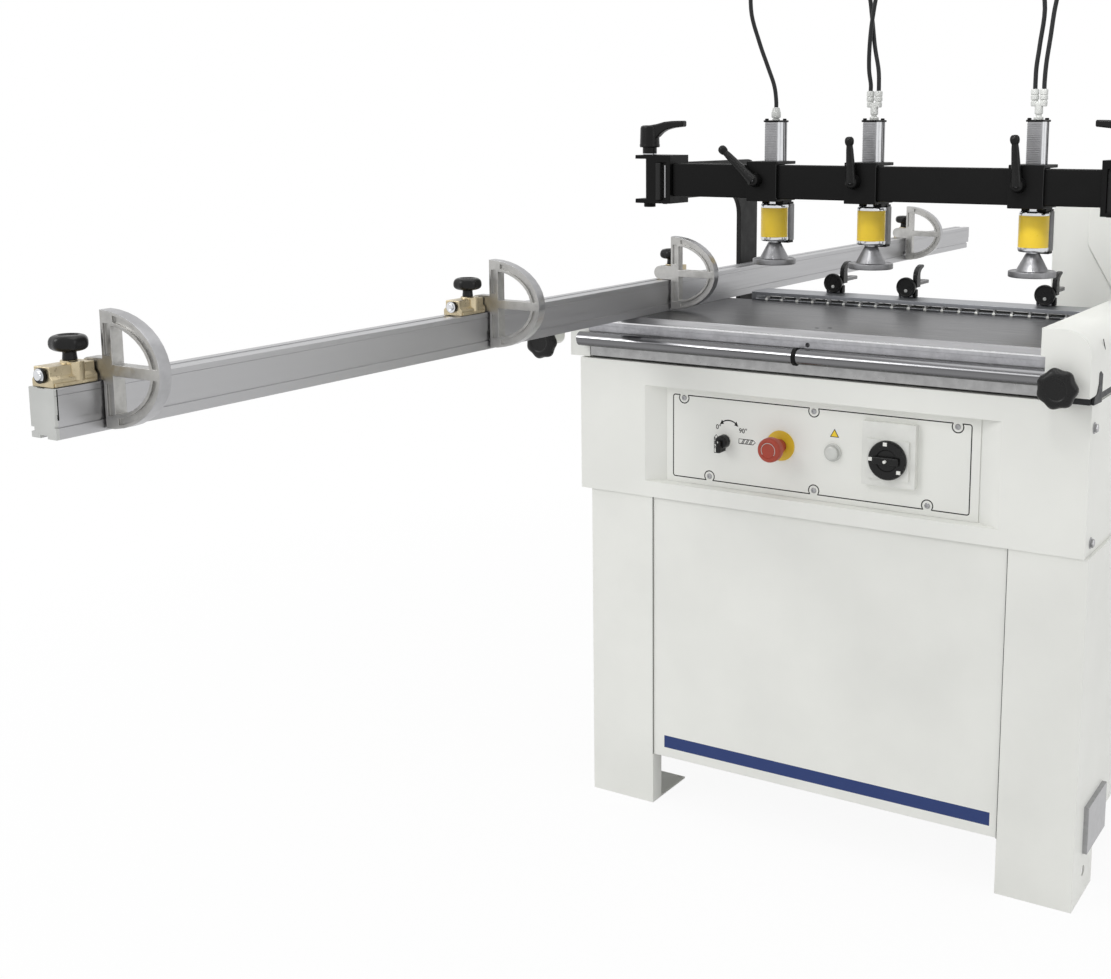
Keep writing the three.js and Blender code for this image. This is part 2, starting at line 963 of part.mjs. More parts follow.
const switchKnobSolid = join(
  turned("y", switchX, switchZ, [
    [0, switchKnobBase],
    [switchKnob - gripHalf, switchKnobBase],
    [switchKnob, switchKnobBase + gripHalf],
    [switchKnob, switchFace],
    [thinStem, switchFace],
    [thinStem, stemEnd],
    [0, stemEnd],
  ], fineSides),
  block(
    switchX - switchKnob + switchGripRise,
    switchX + switchKnob - switchGripRise,
    switchKnobFront,
    switchFace,
    switchZ - switchGrip,
    switchZ + switchGrip,
  ),
);
piece("main_switch_knob", switchKnobSolid, black());

// Table: front edge with a bevel and a step
const tableBottom = tableTop - tableThick;
let table = prism("x", [
  [tableFront + tableBevel, tableTop],
  [tableFront + tableStep, tableTop - tableBevelDrop],
  [tableFront, tableTop - tableBevelDrop],
  [tableFront, tableTop - tableStepDrop],
  [tableFront + tableStep, tableTop - tableStepDrop],
  [tableFront + tableStep, tableBottom],
  [tableRear, tableBottom],
  [tableRear, tableTop],
].reverse(), tableLeft, tableRight);
table = cut(
  table,
  ...tablePinX.map((x, i) =>
    rod("z", x, tablePinY[i], tablePinRadius, tableTop - tablePinDepth, tableTop + overrun, smallSides),
  ),
  rod(
    "y",
    tableEdgeHoleX,
    tableEdgeHoleZ,
    tablePinRadius,
    tableFront - overrun,
    tableFront + tablePinDepth,
    smallSides,
  ),
);
piece("table", table, darkSteel());

// Guide rod with its collar, and the rail behind it
const guideRod = join(
  rod("x", rodY, rodZ, rodRadius, rodLeft, rodRight, fineSides),
  rod("x", rodY, rodZ, collarRadius, collarX, collarX + collarWide, fineSides),
);
piece("guide_rod", guideRod, steel());
piece("front_rail", block(railLeft, railRight, railFront, railBack, railBottom, railTop), steel());

// Rear fence with the drills' slot, and the stop rail over the drills' way
const drillFence = cut(
  block(fenceLeft, fenceRight, fenceFront, fenceBack, fenceBottom, fenceTop),
  block(
    fenceLeft + slotMargin,
    fenceRight - slotMargin,
    fenceFront - overrun,
    fenceBack + overrun,
    slotBottom,
    slotTop,
  ),
);
piece("drill_fence", drillFence, steel());
const stopRailFront = fenceBack + seat;
const stopRail = join(
  block(fenceLeft, fenceRight, stopRailFront, stopRailBack, fenceTop - stopRailWeb, fenceTop),
  block(fenceLeft, fenceLeft + stopRailFoot, stopRailFront, stopRailBack, stopRailBottom, fenceTop),
  block(fenceRight - stopRailFoot, fenceRight, stopRailFront, stopRailBack, stopRailBottom, fenceTop),
);
piece("stop_rail", stopRail, aluminium());

// Right end casting: a rounded outer shoulder, hollow from below
const shoulderRadiusX = rightOuter - rightFlat;
const shoulderRadiusZ = rightTop - rightShoulder;
let rightCasting = prism("y", [
  [rightStepX, rightBottom],
  [rightOuter, rightBottom],
  ...arc(rightFlat, rightShoulder, shoulderRadiusX, shoulderRadiusZ, 0, Math.PI / 2, rightCurveSteps),
  [rightInner, rightTop],
  [rightInner, rightStepZ],
  [rightStepX, rightStepZ],
], rightFront, rightBack);
const rightKnobBore = rod("y", rightKnobX, rightKnobZ, lobePin + boreGap, rightFront - overrun, rightFront + castingWall);
const rearKnobBore = rod("z", rearKnobX, rearKnobY, lobePin, rightTop - castingWall, rightTop + overrun);
rightCasting = cut(
  rightCasting,
  block(
    rightStepX + castingWall,
    rightOuter - castingWall,
    rightFront + castingWall * 2,
    rightBack - castingWall,
    rightBottom - overrun,
    rightShoulder,
  ),
  rightKnobBore,
  rearKnobBore,
);
piece("end_casting_right", rightCasting, white());

// Left end casting: a stepped block with a lug for its knob
let leftCasting = prism("y", [
  [leftMid, leftBottom],
  [leftInner, leftBottom],
  [leftInner, leftTop],
  [leftOuter, leftTop],
  [leftOuter, leftMidBottom],
  [leftMid, leftMidBottom],
], leftFront, leftBack);
const lugRadius = leftTop - leftMidBottom;
leftCasting = join(
  leftCasting,
  prism("y", [
    ...arc(leftKnobX, leftLugDrop, lugRadius / 2, lugRadius / 2, Math.PI, 2 * Math.PI, rightCurveSteps),
    [leftKnobX + lugRadius / 2, leftMidBottom + seat],
    [leftKnobX - lugRadius / 2, leftMidBottom + seat],
  ], leftFront, leftFront + lugRadius),
);
leftCasting = cut(
  leftCasting,
  rod("y", leftKnobX, leftKnobZ, lobePin + boreGap, leftFront - overrun, leftFront + castingWall),
);
piece("end_casting_left", leftCasting, white());

// Lobed hand knobs: the profile rises away from the seat
function lobeOutline(u, v, radius, share, count, steps) {
  const sides = count * steps;
  return Array.from({ length: sides }, (_, i) => {
    const angle = (2 * Math.PI * i) / sides;
    const r = radius * (1 - share + share * Math.cos(count * angle));
    return [u + r * Math.cos(angle), v + r * Math.sin(angle)];
  });
}
function lobeKnob(axis, u, v, face, out, scale) {
  const at = (distance) => face + out * distance * scale;
  const span = (a, b) => [Math.min(a, b), Math.max(a, b)];
  const [hubFrom, hubTo] = span(face + out * seat, at(lobeHubLong));
  const [headFrom, headTo] = span(at(lobeHubLong), at(lobeHubLong + lobeThick));
  const [capFrom, capTo] = span(at(lobeHubLong), at(lobeHubLong + lobeThick + lobeCapRise));
  const [pinFrom, pinTo] = span(face - out * lobePinLong, at(lobeHubLong));
  return join(
    rod(axis, u, v, lobeHub * scale, hubFrom, hubTo),
    prism(axis, lobeOutline(u, v, lobeRadius * scale, lobeShare, lobeCount, lobeSteps), headFrom, headTo),
    rod(axis, u, v, lobeCap * scale, capFrom, capTo),
    rod(axis, u, v, lobePin * scale, pinFrom, pinTo, smallSides),
  );
}
piece("right_lobe_knob", lobeKnob("y", rightKnobX, rightKnobZ, rightFront, -1, 1), black());
piece("left_lobe_knob", lobeKnob("y", leftKnobX, leftKnobZ, leftFront, -1, 1), black());
piece("rear_lobe_knob", lobeKnob("z", rearKnobX, rearKnobY, rightTop, 1, rearKnobShare), black());

// Rear housing: a folded cover with a creased front corner, open below
const housingOutline = (inset) => [
  [housingLeft + inset, housingCornerY + inset / 2],
  [housingCrease + inset / 2, housingFront + inset],
  [housingRight - inset, housingFront + inset],
  [housingRight - inset, baseRear - inset],
  [housingLeft + inset, baseRear - inset],
];
const housing = cut(
  prism("z", housingOutline(0), housingBottom, housingTop),
  prism("z", housingOutline(sheet), housingBottom - overrun, housingTop - sheet),
);
piece("rear_housing", housing, white());

// Fence bar: an extrusion with grooves, slots and a hollow open at the far end
const barOutline = [
  [barLeft, barBottom],
  [barUnderLeft, barBottom],
  [barUnderLeft, barBottom + barUnderDeep],
  [barUnderRight, barBottom + barUnderDeep],
  [barUnderRight, barBottom],
  [barRight, barBottom],
  [barRight, barGrooveLow],
  [barRight - barGrooveDeep, barGrooveLow],
  [barRight - barGrooveDeep, barGrooveHigh],
  [barRight - barStepDeep, barGrooveHigh],
  [barRight - barStepDeep, barStepZ],
  [barRight, barStepZ],
  [barRight, barTop],
  [barLeft, barTop],
  [barLeft, barSideSlotHigh],
  [barLeft + barSideSlotDeep, barSideSlotHigh],
  [barLeft + barSideSlotDeep, barSideSlotLow],
  [barLeft, barSideSlotLow],
];
const fenceBar = cut(
  prism("y", barOutline, barFront, barRear),
  block(
    barLeft + barWall,
    barRight - barWall,
    barFront + barCap,
    barRear + overrun,
    barFloor,
    barTop - barWall,
  ),
  block(
    barLeft - overrun,
    barRight + overrun,
    barRear - barNotch,
    barRear + overrun,
    barBottom - overrun,
    barGrooveHigh,
  ),
);
piece("fence_bar", fenceBar, aluminium());

// Flip stops: a half-round sector on a shaft, its brass block and the block's knob
function sectorOutline(inset) {
  return arc(
    spineLeft,
    stopAxisZ,
    sectorReach - inset,
    sectorHalf - inset,
    -Math.PI / 2,
    Math.PI / 2,
    sectorSteps,
  );
}
function halfWindow(side) {
  const inner = sectorOutline(sectorRim).filter(([u, v]) => {
    return u > spineRight && side * (v - stopAxisZ) > spokeHalf;
  });
  const reachU = Math.max(...inner.map(([u]) => u));
  const corner = [spineRight, stopAxisZ + side * spokeHalf];
  const tip = [reachU, stopAxisZ + side * spokeHalf];
  const lift = inner.reduce((a, b) => (b[0] < a[0] ? b : a));
  const top = [spineRight, lift[1]];
  return side > 0 ? [corner, tip, ...inner, top] : [corner, top, ...inner, tip];
}
for (let i = 0; i < stopCount; i++) {
  const front = stopPlaces[i];
  const side = stopSides[i];
  const back = front + sectorDeep;
  const face = side < 0 ? front : back;
  const span = (a, b) => [Math.min(a, b), Math.max(a, b)];
  const away = (distance) => face + side * distance;
  let sector = cut(
    prism("y", sectorOutline(0), front, back),
    prism("y", halfWindow(1), front - overrun, back + overrun),
    prism("y", halfWindow(-1), front - overrun, back + overrun),
  );
  const pocketInset = pocketMargin;
  const rimPocket = cut(
    prism("y", sectorOutline(pocketInset), front - overrun, front + pocketDeep),
    prism("y", sectorOutline(sectorRim - pocketInset), front - overrun * 2, back),
    block(
      spineLeft - overrun,
      spineRight + pocketMargin,
      front - overrun * 2,
      back,
      stopAxisZ - sectorReach,
      stopAxisZ + sectorReach,
    ),
    block(
      spineLeft,
      spineLeft + sectorReach + overrun,
      front - overrun * 2,
      back,
      stopAxisZ - spokeHalf,
      stopAxisZ + spokeHalf,
    ),
  );
  const spinePockets = [1, -1].map((end) => {
    const [low, high] = span(
      stopAxisZ + end * (hubRadius + pocketMargin),
      stopAxisZ + end * (sectorHalf - sectorRim),
    );
    return block(
      spineLeft + pocketMargin,
      spineRight - pocketMargin,
      front - overrun,
      front + pocketDeep,
      low,
      high,
    );
  });
  sector = cut(sector, rimPocket, ...spinePockets);
  const [shaftFrom, shaftTo] = span(face, away(shaftPast));
  const [capFrom, capTo] = span(away(blockNear + blockLong + seat), away(sleevePast + shaftRadius / 2));
  sector = join(
    sector,
    rod("y", stopAxisX, stopAxisZ, hubRadius, front, back),
    block(stopAxisX, spineLeft + pocketMargin, front, back, stopAxisZ - spokeHalf * 2 + seat, stopAxisZ + spokeHalf * 2 - seat),
    rod("y", stopAxisX, stopAxisZ, shaftRadius, shaftFrom, shaftTo, smallSides),
    rod("y", stopAxisX, stopAxisZ, sleeveRadius, capFrom, capTo),
  );
  piece("flip_stop_" + (i + 1), sector, aluminium());
  const [blockFrom, blockTo] = span(away(blockNear), away(blockNear + blockLong));
  const knobY = away(knobOffset);
  let stopBlock = join(
    prism("y", [
      [blockLeft, blockBottom],
      [blockRight, blockBottom],
      [blockRight, blockShoulder],
      [blockRight - blockInset, blockShoulder + blockInset],
      [blockRight - blockInset, blockTop],
      [blockLeft + blockInset, blockTop],
      [blockLeft + blockInset, blockShoulder + blockInset],
      [blockLeft, blockShoulder],
    ], blockFrom, blockTo),
    rod("z", stopAxisX, knobY, bossRadius, blockShoulder, bossTop),
  );
  stopBlock = cut(
    stopBlock,
    rod("y", stopAxisX, stopAxisZ, shaftRadius + shaftGap, blockFrom - overrun, blockTo + overrun),
    rod("z", stopAxisX, knobY, stopKnobPin + shaftGap, stopKnobPinEnd - shaftGap, bossTop + overrun, smallSides),
  );
  piece("stop_block_" + (i + 1), stopBlock, brass());
  const knobOutline = lobeOutline(stopAxisX, knobY, stopKnobRadius, stopKnobLobeShare, lobeCount, lobeSteps);
  const knobMid = lobeOutline(
    stopAxisX,
    knobY,
    stopKnobRadius - stopKnobRound,
    stopKnobLobeShare,
    lobeCount,
    lobeSteps,
  );
  const stopKnob = join(
    rod("z", stopAxisX, knobY, stopKnobStem, bossTop + seat, stopKnobTop - stopKnobRound),
    prism("z", knobMid, stopKnobUnder, stopKnobTop),
    prism("z", knobOutline, stopKnobUnder + stopKnobRound, stopKnobTop - stopKnobRound),
    rod("z", stopAxisX, knobY, stopKnobPin, stopKnobPinEnd, stopKnobUnder, smallSides),
  );
  piece("stop_knob_" + (i + 1), stopKnob, black());
}

// Press beam, its two L-shaped arms, the clamp brackets and the ratchet handles
const pressBeam = cut(
  block(beamLeft, beamRight, beamFront, beamBack, beamBottom, beamTop),
  block(
    beamLeft - overrun,
    beamRight + overrun,
    beamFront + beamWall,
    beamBack - beamWall,
    beamBottom + beamWall,
    beamTop - beamWall,
  ),
);
piece("press_beam", pressBeam, black());
const armOutline = [
  [armFront, armUnder],
  ...arc(
    armInner - armInnerRound,
    armUnder - armInnerRound,
    armInnerRound,
    armInnerRound,
    Math.PI / 2,
    0,
    armRoundSteps,
  ),
  [armInner, armBottom],
  [armRear, armBottom],
  ...arc(
    armRear - armOuterRound,
    armTop - armOuterRound,
    armOuterRound,
    armOuterRound,
    0,
    Math.PI / 2,
    armRoundSteps,
  ),
  [armFront, armTop],
];
const leftArm = join(
  prism("x", armOutline, armLeft, armRight),
  block(armFootInner, armLeft + seat, armFootFront, armFootRear, armBottom, armFootTop),
);
const rightFootOuter = upperRight - sheet - seat;
const rightArmLeft = 2 * pressCentre - armRight;
const rightArmRight = 2 * pressCentre - armLeft;
const rightArm = join(
  prism("x", armOutline, rightArmLeft, rightArmRight),
  block(rightArmRight - seat, rightFootOuter, armFootFront, armFootRear, armBottom, armFootTop),
);
piece("press_arm_left", leftArm, black());
piece("press_arm_right", rightArm, black());
const bracket = cut(
  join(
    block(bracketLeft, bracketRight, bracketFront, bracketBack, bracketBottom, bracketTop),
    rod("z", boltX, boltY, boltNutRadius, boltNutBottom, bracketBottom + seat, smallSides),
  ),
  block(
    armLeft - seat,
    bracketSlotRight,
    bracketFront - overrun,
    bracketBack + overrun,
    bracketFloor,
    bracketRoof,
  ),
  block(
    bracketLeft - overrun,
    bracketCheek,
    bracketFront - overrun,
    bracketBack + overrun,
    bracketCheekLow,
    bracketCheekHigh,
  ),
);
const bracketBolt = rod("z", boltX, boltY, boltRadius, bracketBottom, bracketTop);
const leftBracket = join(bracket, bracketBolt);
piece("beam_bracket_left", leftBracket, black());
const inlet = rod("z", inletX, inletY, inletRadius, bracketTop - seat, inletTop, smallSides);
piece("beam_bracket_right", join(mirrored(leftBracket, pressCentre), inlet), black());
const ratchetHandle = join(
  turned("z", boltX, boltY, [
    [0, boltTop],
    [handleStem, boltTop],
    [handleStem, handleStemTop],
    [handleHubNeck + seat, handleStemTop],
    [handleHub, handleStemTop + seat],
    [handleHubNeck, handleHubTop],
    [0, handleHubTop],
  ]),
  prism("y", [
    [boltX, handleRootLow],
    [boltX + handleHub, handleRootLow],
    [boltX + handleReach * handleWaistShare, handleTipLow - handleHalf],
    [boltX + handleReach, handleTipLow],
    [boltX + handleReach, handleTipHigh],
    [boltX + handleReach * handleBackShare, handleTipHigh],
    [boltX, handleRootHigh],
  ], boltY - handleHalf, boltY + handleHalf),
);
piece("ratchet_handle_left", ratchetHandle, black());
piece("ratchet_handle_right", mirrored(ratchetHandle, pressCentre), black());

// Press units: a sleeve on the beam, the air cylinder behind it, its foot and the clamp lever
for (let i = 0; i < unitCount; i++) {
  const x = unitPlaces[i];
  const forked = i > 0;
  const straps = cut(
    block(x - sleeveHalf, x + sleeveHalf, sleeveFront, sleeveBack, sleeveBottom, sleeveTop),
    block(
      x - sleeveHalf - overrun,
      x + sleeveHalf + overrun,
      beamFront - seat,
      beamBack + seat,
      beamBottom - seat,
      beamTop + seat,
    ),
    block(
      x - sleeveHalf - overrun,
      x + sleeveHalf + overrun,
      beamBack + seat + strapThick,
      sleeveBack + overrun,
      beamBottom - seat,
      beamTop + seat,
    ),
  );
  const fitting = forked
    ? join(
        rod("z", x, cylinderY, fittingStem, capTop - seat, forkLow, smallSides),
        block(x - forkHalf, x + forkHalf, cylinderY - forkDeep, cylinderY + forkDeep, forkLow - seat, forkMid),
        rod("z", x - forkSpread, cylinderY, forkPort, forkMid - seat, forkTop, smallSides),
        rod("z", x + forkSpread, cylinderY, forkPort, forkMid - seat, forkTop, smallSides),
      )
    : turned("z", x, cylinderY, [
        [0, capTop - seat],
        [fittingStem, capTop - seat],
        [fittingStem, singleLow],
        [singleBody, singleLow],
        [singleBody, (singleLow + singleTop) / 2],
        [singleNeck, singleTop],
        [0, singleTop],
      ], smallSides);
  const unit = cut(
    join(
      straps,
      block(
        x - upperHalf,
        x + ribRight,
        cylinderY - upperHalf,
        cylinderY + upperHalf,
        sleeveTop - seat,
        upperTop,
      ),
      rod("z", x + tubeOffset, cylinderY, tubeRadius, sleeveTop - seat, upperTop),
      rod("z", x + tieOffset, cylinderY, tieRadius, sleeveTop - seat, upperTop, smallSides),
      block(
        x - upperHalf - strapThick / 2,
        x + upperHalf + strapThick / 2,
        cylinderY - upperHalf,
        cylinderY + upperHalf,
        upperTop - seat,
        capTop,
      ),
      rod("z", x, cylinderY, neckRadius, barrelTop - seat, sleeveTop - seat),
      rod("z", x, cylinderY, barrelRadius, barrelBottom, barrelTop, fineSides),
      block(x + guardInner, x + guardOuter, guardFront, guardBack, barrelBottom, barrelTop),
      fitting,
    ),
    rod("z", x, cylinderY, footRodRadius + footBoreGap, barrelBottom - overrun, footBoreTop),
  );
  piece("press_unit_" + (i + 1), unit, black());
  const foot = turned("z", x, cylinderY, [
    [0, footDiscBottom],
    [footDiscRadius - footDiscEdge, footDiscBottom],
    [footDiscRadius, footDiscBottom + footDiscEdge],
    [footDiscRadius, footDiscTop - footDiscEdge],
    [footDiscRadius - footDiscEdge, footDiscTop],
    [footConeRadius, footConeLow],
    [footConeTopRadius, footConeTop],
    [footRodRadius, footConeTop],
    [footRodRadius, footRodTop],
    [0, footRodTop],
  ], fineSides);
  piece("press_foot_" + (i + 1), foot, steel());
  const leverX = x + leverOffset;
  const tipX = leverX + leverTipX[i];
  const tipZ = leverZ + leverTipZ[i];
  const hubBack = sleeveFront - seat;
  const lever = join(
    rod("y", leverX, leverZ, leverHub, leverHubFront, hubBack),
    prism(
      "y",
      hull(
        circle(leverX, leverZ, leverRoot, smallSides),
        circle(tipX, tipZ, leverTip, smallSides, Math.PI / smallSides),
      ),
      leverPlateFront,
      leverPlateBack,
    ),
    rod("y", tipX, tipZ, leverBall, leverPlateFront - (leverBall - leverTip), leverPlateBack + (leverBall - leverTip)),
  );
  piece("clamp_lever_" + (i + 1), lever, black());
}

// Rear stops: a base on the rail with its cam plate, and a slotted bar that carries the stop disc
for (let i = 0; i < rearStopCount; i++) {
  const x = rearStopPlaces[i];
  const camOutline = hull(
    circle(camY, camZ, camRound, smallSides),
    circle(camTipY, camTipZ, camTipRound, smallSides, Math.PI / smallSides),
  );
  const rearBase = join(
    block(x - rearBaseHalf, x + rearBaseHalf, rearBaseFront, rearBaseBack, rearBaseBottom, rearBaseTop),
    prism("x", camOutline, x + camOffset - camHalf, x + camOffset + camHalf),
    block(
      x + camOffset - camHalf,
      x + camOffset + camHalf,
      camY - camRound,
      camY + camRound,
      rearBaseTop - seat,
      camZ,
    ),
  );
  piece("rear_stop_" + (i + 1), rearBase, black());
  const slottedBar = cut(
    join(
      block(x - slotBarHalf, x + slotBarHalf, discFront + seat, slotBarBack, slotBarLow, slotBarHigh),
      rod("y", x, discZ, discRadius, discFront, slotBarFront, fineSides),
    ),
    block(
      x - slotHoleHalf,
      x + slotHoleHalf,
      slotHoleFront,
      slotHoleBack,
      slotBarLow - overrun,
      slotBarHigh + overrun,
    ),
  );
  piece("stop_bar_" + (i + 1), slottedBar, darkSteel());
}

// Tilting cradle: end plates with guide ribs and pivot pins, joined by a beam
const cradleFront = pivotY + cradleFrontOffset;
const cradleRear = pivotY + cradleRearOffset;
const cradleLow = pivotZ + cradleLowOffset;
const cradleHigh = pivotZ + cradleHighOffset;
const headFront = pivotY + headFrontOffset;
const headBack = headFront + headDeep;
const spindleY = pivotY + spindleOffset;
const leftPinEnd = baseLeft - seat;
const rightPinEnd = upperRight + seat;
function cradlePlateAt(x0, x1, ribX0, ribX1) {
  return join(
    block(x0, x1, cradleFront, cradleRear, cradleLow, cradleHigh),
    block(ribX0, ribX1, headFront - ribGap - cradleRibLong, headFront - ribGap, cradleLow, cradleHigh),
    block(ribX0, ribX1, headBack + ribGap, cradleRear, cradleLow, cradleHigh),
  );
}
const leftPlateInner = cradleLeft + cradlePlate;
const rightPlateInner = cradleRight - cradlePlate;
const cradle = join(
  cradlePlateAt(cradleLeft, leftPlateInner, leftPlateInner - seat, leftPlateInner + cradleRib),
  cradlePlateAt(rightPlateInner, cradleRight, rightPlateInner - cradleRib, rightPlateInner + seat),
  block(
    cradleLeft,
    cradleRight,
    cradleFront,
    cradleFront + cradleBeamDeep,
    cradleLow,
    cradleLow + cradleBeamTall,
  ),
  rod("x", pivotY, pivotZ, pivotRadius, leftPinEnd, cradleLeft + seat),
  rod("x", pivotY, pivotZ, pivotRadius, cradleRight - seat, rightPinEnd),
);
piece("head_carriage", cradle, darkSteel());

// Boring head: a gear case with end tongues, the spindles with their bits, and the motor
const headLow = pivotZ + headLowOffset;
const headHigh = headLow + headTall;
const spindleTop = pivotZ + spindleTopOffset;
const bitTop = pivotZ + bitTopOffset;
const headLeft = leftPlateInner + headInset;
const headRight = rightPlateInner - headInset;
let boringHead = join(
  block(headLeft, headRight, headFront, headBack, headLow, headHigh),
  block(leftPlateInner + ribGap, headLeft + seat, headFront, headBack, headLow, headHigh),
  block(headRight - seat, rightPlateInner - ribGap, headFront, headBack, headLow, headHigh),
  rod("z", motorX, spindleY, motorRadius, headLow - motorLong, headLow + seat),
);
for (let i = 0; i < spindleCount; i++) {
  const x = spindleFirst + i * spindlePitch;
  boringHead = join(
    boringHead,
    turned("z", x, spindleY, [
      [0, headHigh - seat],
      [spindleRadius, headHigh - seat],
      [spindleRadius, spindleTop],
      [bitRadius, spindleTop],
      [bitRadius, bitTop - bitRadius],
      [0, bitTop],
    ], hoseSides),
  );
}
piece("boring_head", boringHead, darkSteel());

// Hoses from fitting to fitting
function hose(name, path) {
  const curve = new THREE.CatmullRomCurve3(
    path.map(([x, y, z]) => new THREE.Vector3(x, y, z)),
    false,
    "centripetal",
  );
  const steps = Math.round(curve.getLength() / hoseStepLong);
  const section = new THREE.Shape(
    circle(0, 0, hoseRadius, hoseSides).map(([u, v]) => new THREE.Vector2(u, v)),
  );
  const geometry = new THREE.ExtrudeGeometry(section, {
    steps,
    extrudePath: curve,
    bevelEnabled: false,
  });
  hosePieces.push(piece(name, closedSolid(geometry), paint(0x26272a, 0, 0.5)));
}
hose("hose_1", hoseOnePath);
hose("hose_2", hoseTwoPath);
hose("hose_3", hoseThreePath);

// The origin is the middle of the machine's footprint box, on the floor, without the hoses
const extent = new THREE.Box3();
for (const mesh of body.children) {
  if (!hosePieces.includes(mesh)) extent.expandByObject(mesh);
}
const middle = extent.getCenter(new THREE.Vector3());
body.position.set(-middle.x, -middle.y, 0);

const machine = new THREE.Group();
machine.add(body);
export default machine;
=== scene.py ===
import bpy
import bmesh
import json
import math
from mathutils import Matrix, Vector


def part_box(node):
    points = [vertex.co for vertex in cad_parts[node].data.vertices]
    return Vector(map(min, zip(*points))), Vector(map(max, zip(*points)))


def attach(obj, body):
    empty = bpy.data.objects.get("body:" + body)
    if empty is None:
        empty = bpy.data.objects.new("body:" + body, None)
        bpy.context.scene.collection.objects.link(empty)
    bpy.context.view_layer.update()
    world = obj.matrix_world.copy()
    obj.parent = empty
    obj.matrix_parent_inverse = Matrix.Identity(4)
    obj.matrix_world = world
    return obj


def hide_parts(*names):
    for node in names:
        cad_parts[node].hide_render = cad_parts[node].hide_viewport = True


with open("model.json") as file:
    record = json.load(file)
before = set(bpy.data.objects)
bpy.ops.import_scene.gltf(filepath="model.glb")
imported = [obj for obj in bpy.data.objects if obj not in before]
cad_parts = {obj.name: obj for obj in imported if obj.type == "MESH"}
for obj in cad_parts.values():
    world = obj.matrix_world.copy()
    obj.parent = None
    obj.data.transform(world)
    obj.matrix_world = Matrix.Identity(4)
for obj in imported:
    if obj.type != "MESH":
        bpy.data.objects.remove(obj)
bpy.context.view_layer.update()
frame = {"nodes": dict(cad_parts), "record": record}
record_slots = {row["node"]: row["material_slot"] for row in frame["record"]["subparts"]}
body_of_node = {
    node: name
    for name, nodes in frame["record"]["behaviour"]["bodies"].items()
    for node in nodes
}
MM = 0.001


def in_scene(name, data):
    """A new object, linked into the scene."""
    made = bpy.data.objects.new(name, data)
    bpy.context.scene.collection.objects.link(made)
    return made


# Camera
LENS = 47.73
SENSOR = 36
SHIFT = (-0.0953, -0.1002)
EYE = (1.03675, -2.4702, 1.2302)
TILT = 80.287
PAN = 30.383
camera_data = bpy.data.cameras.new("camera")
camera_data.lens = LENS
camera_data.sensor_width = SENSOR
camera_data.sensor_fit = "HORIZONTAL"
camera_data.shift_x, camera_data.shift_y = SHIFT
camera = in_scene("camera", camera_data)
camera.location = EYE
camera.rotation_euler = (math.radians(TILT), 0, math.radians(PAN))
bpy.context.scene.camera = camera


# Finishes
def darker(colour, share):
    return tuple(part * share for part in colour)


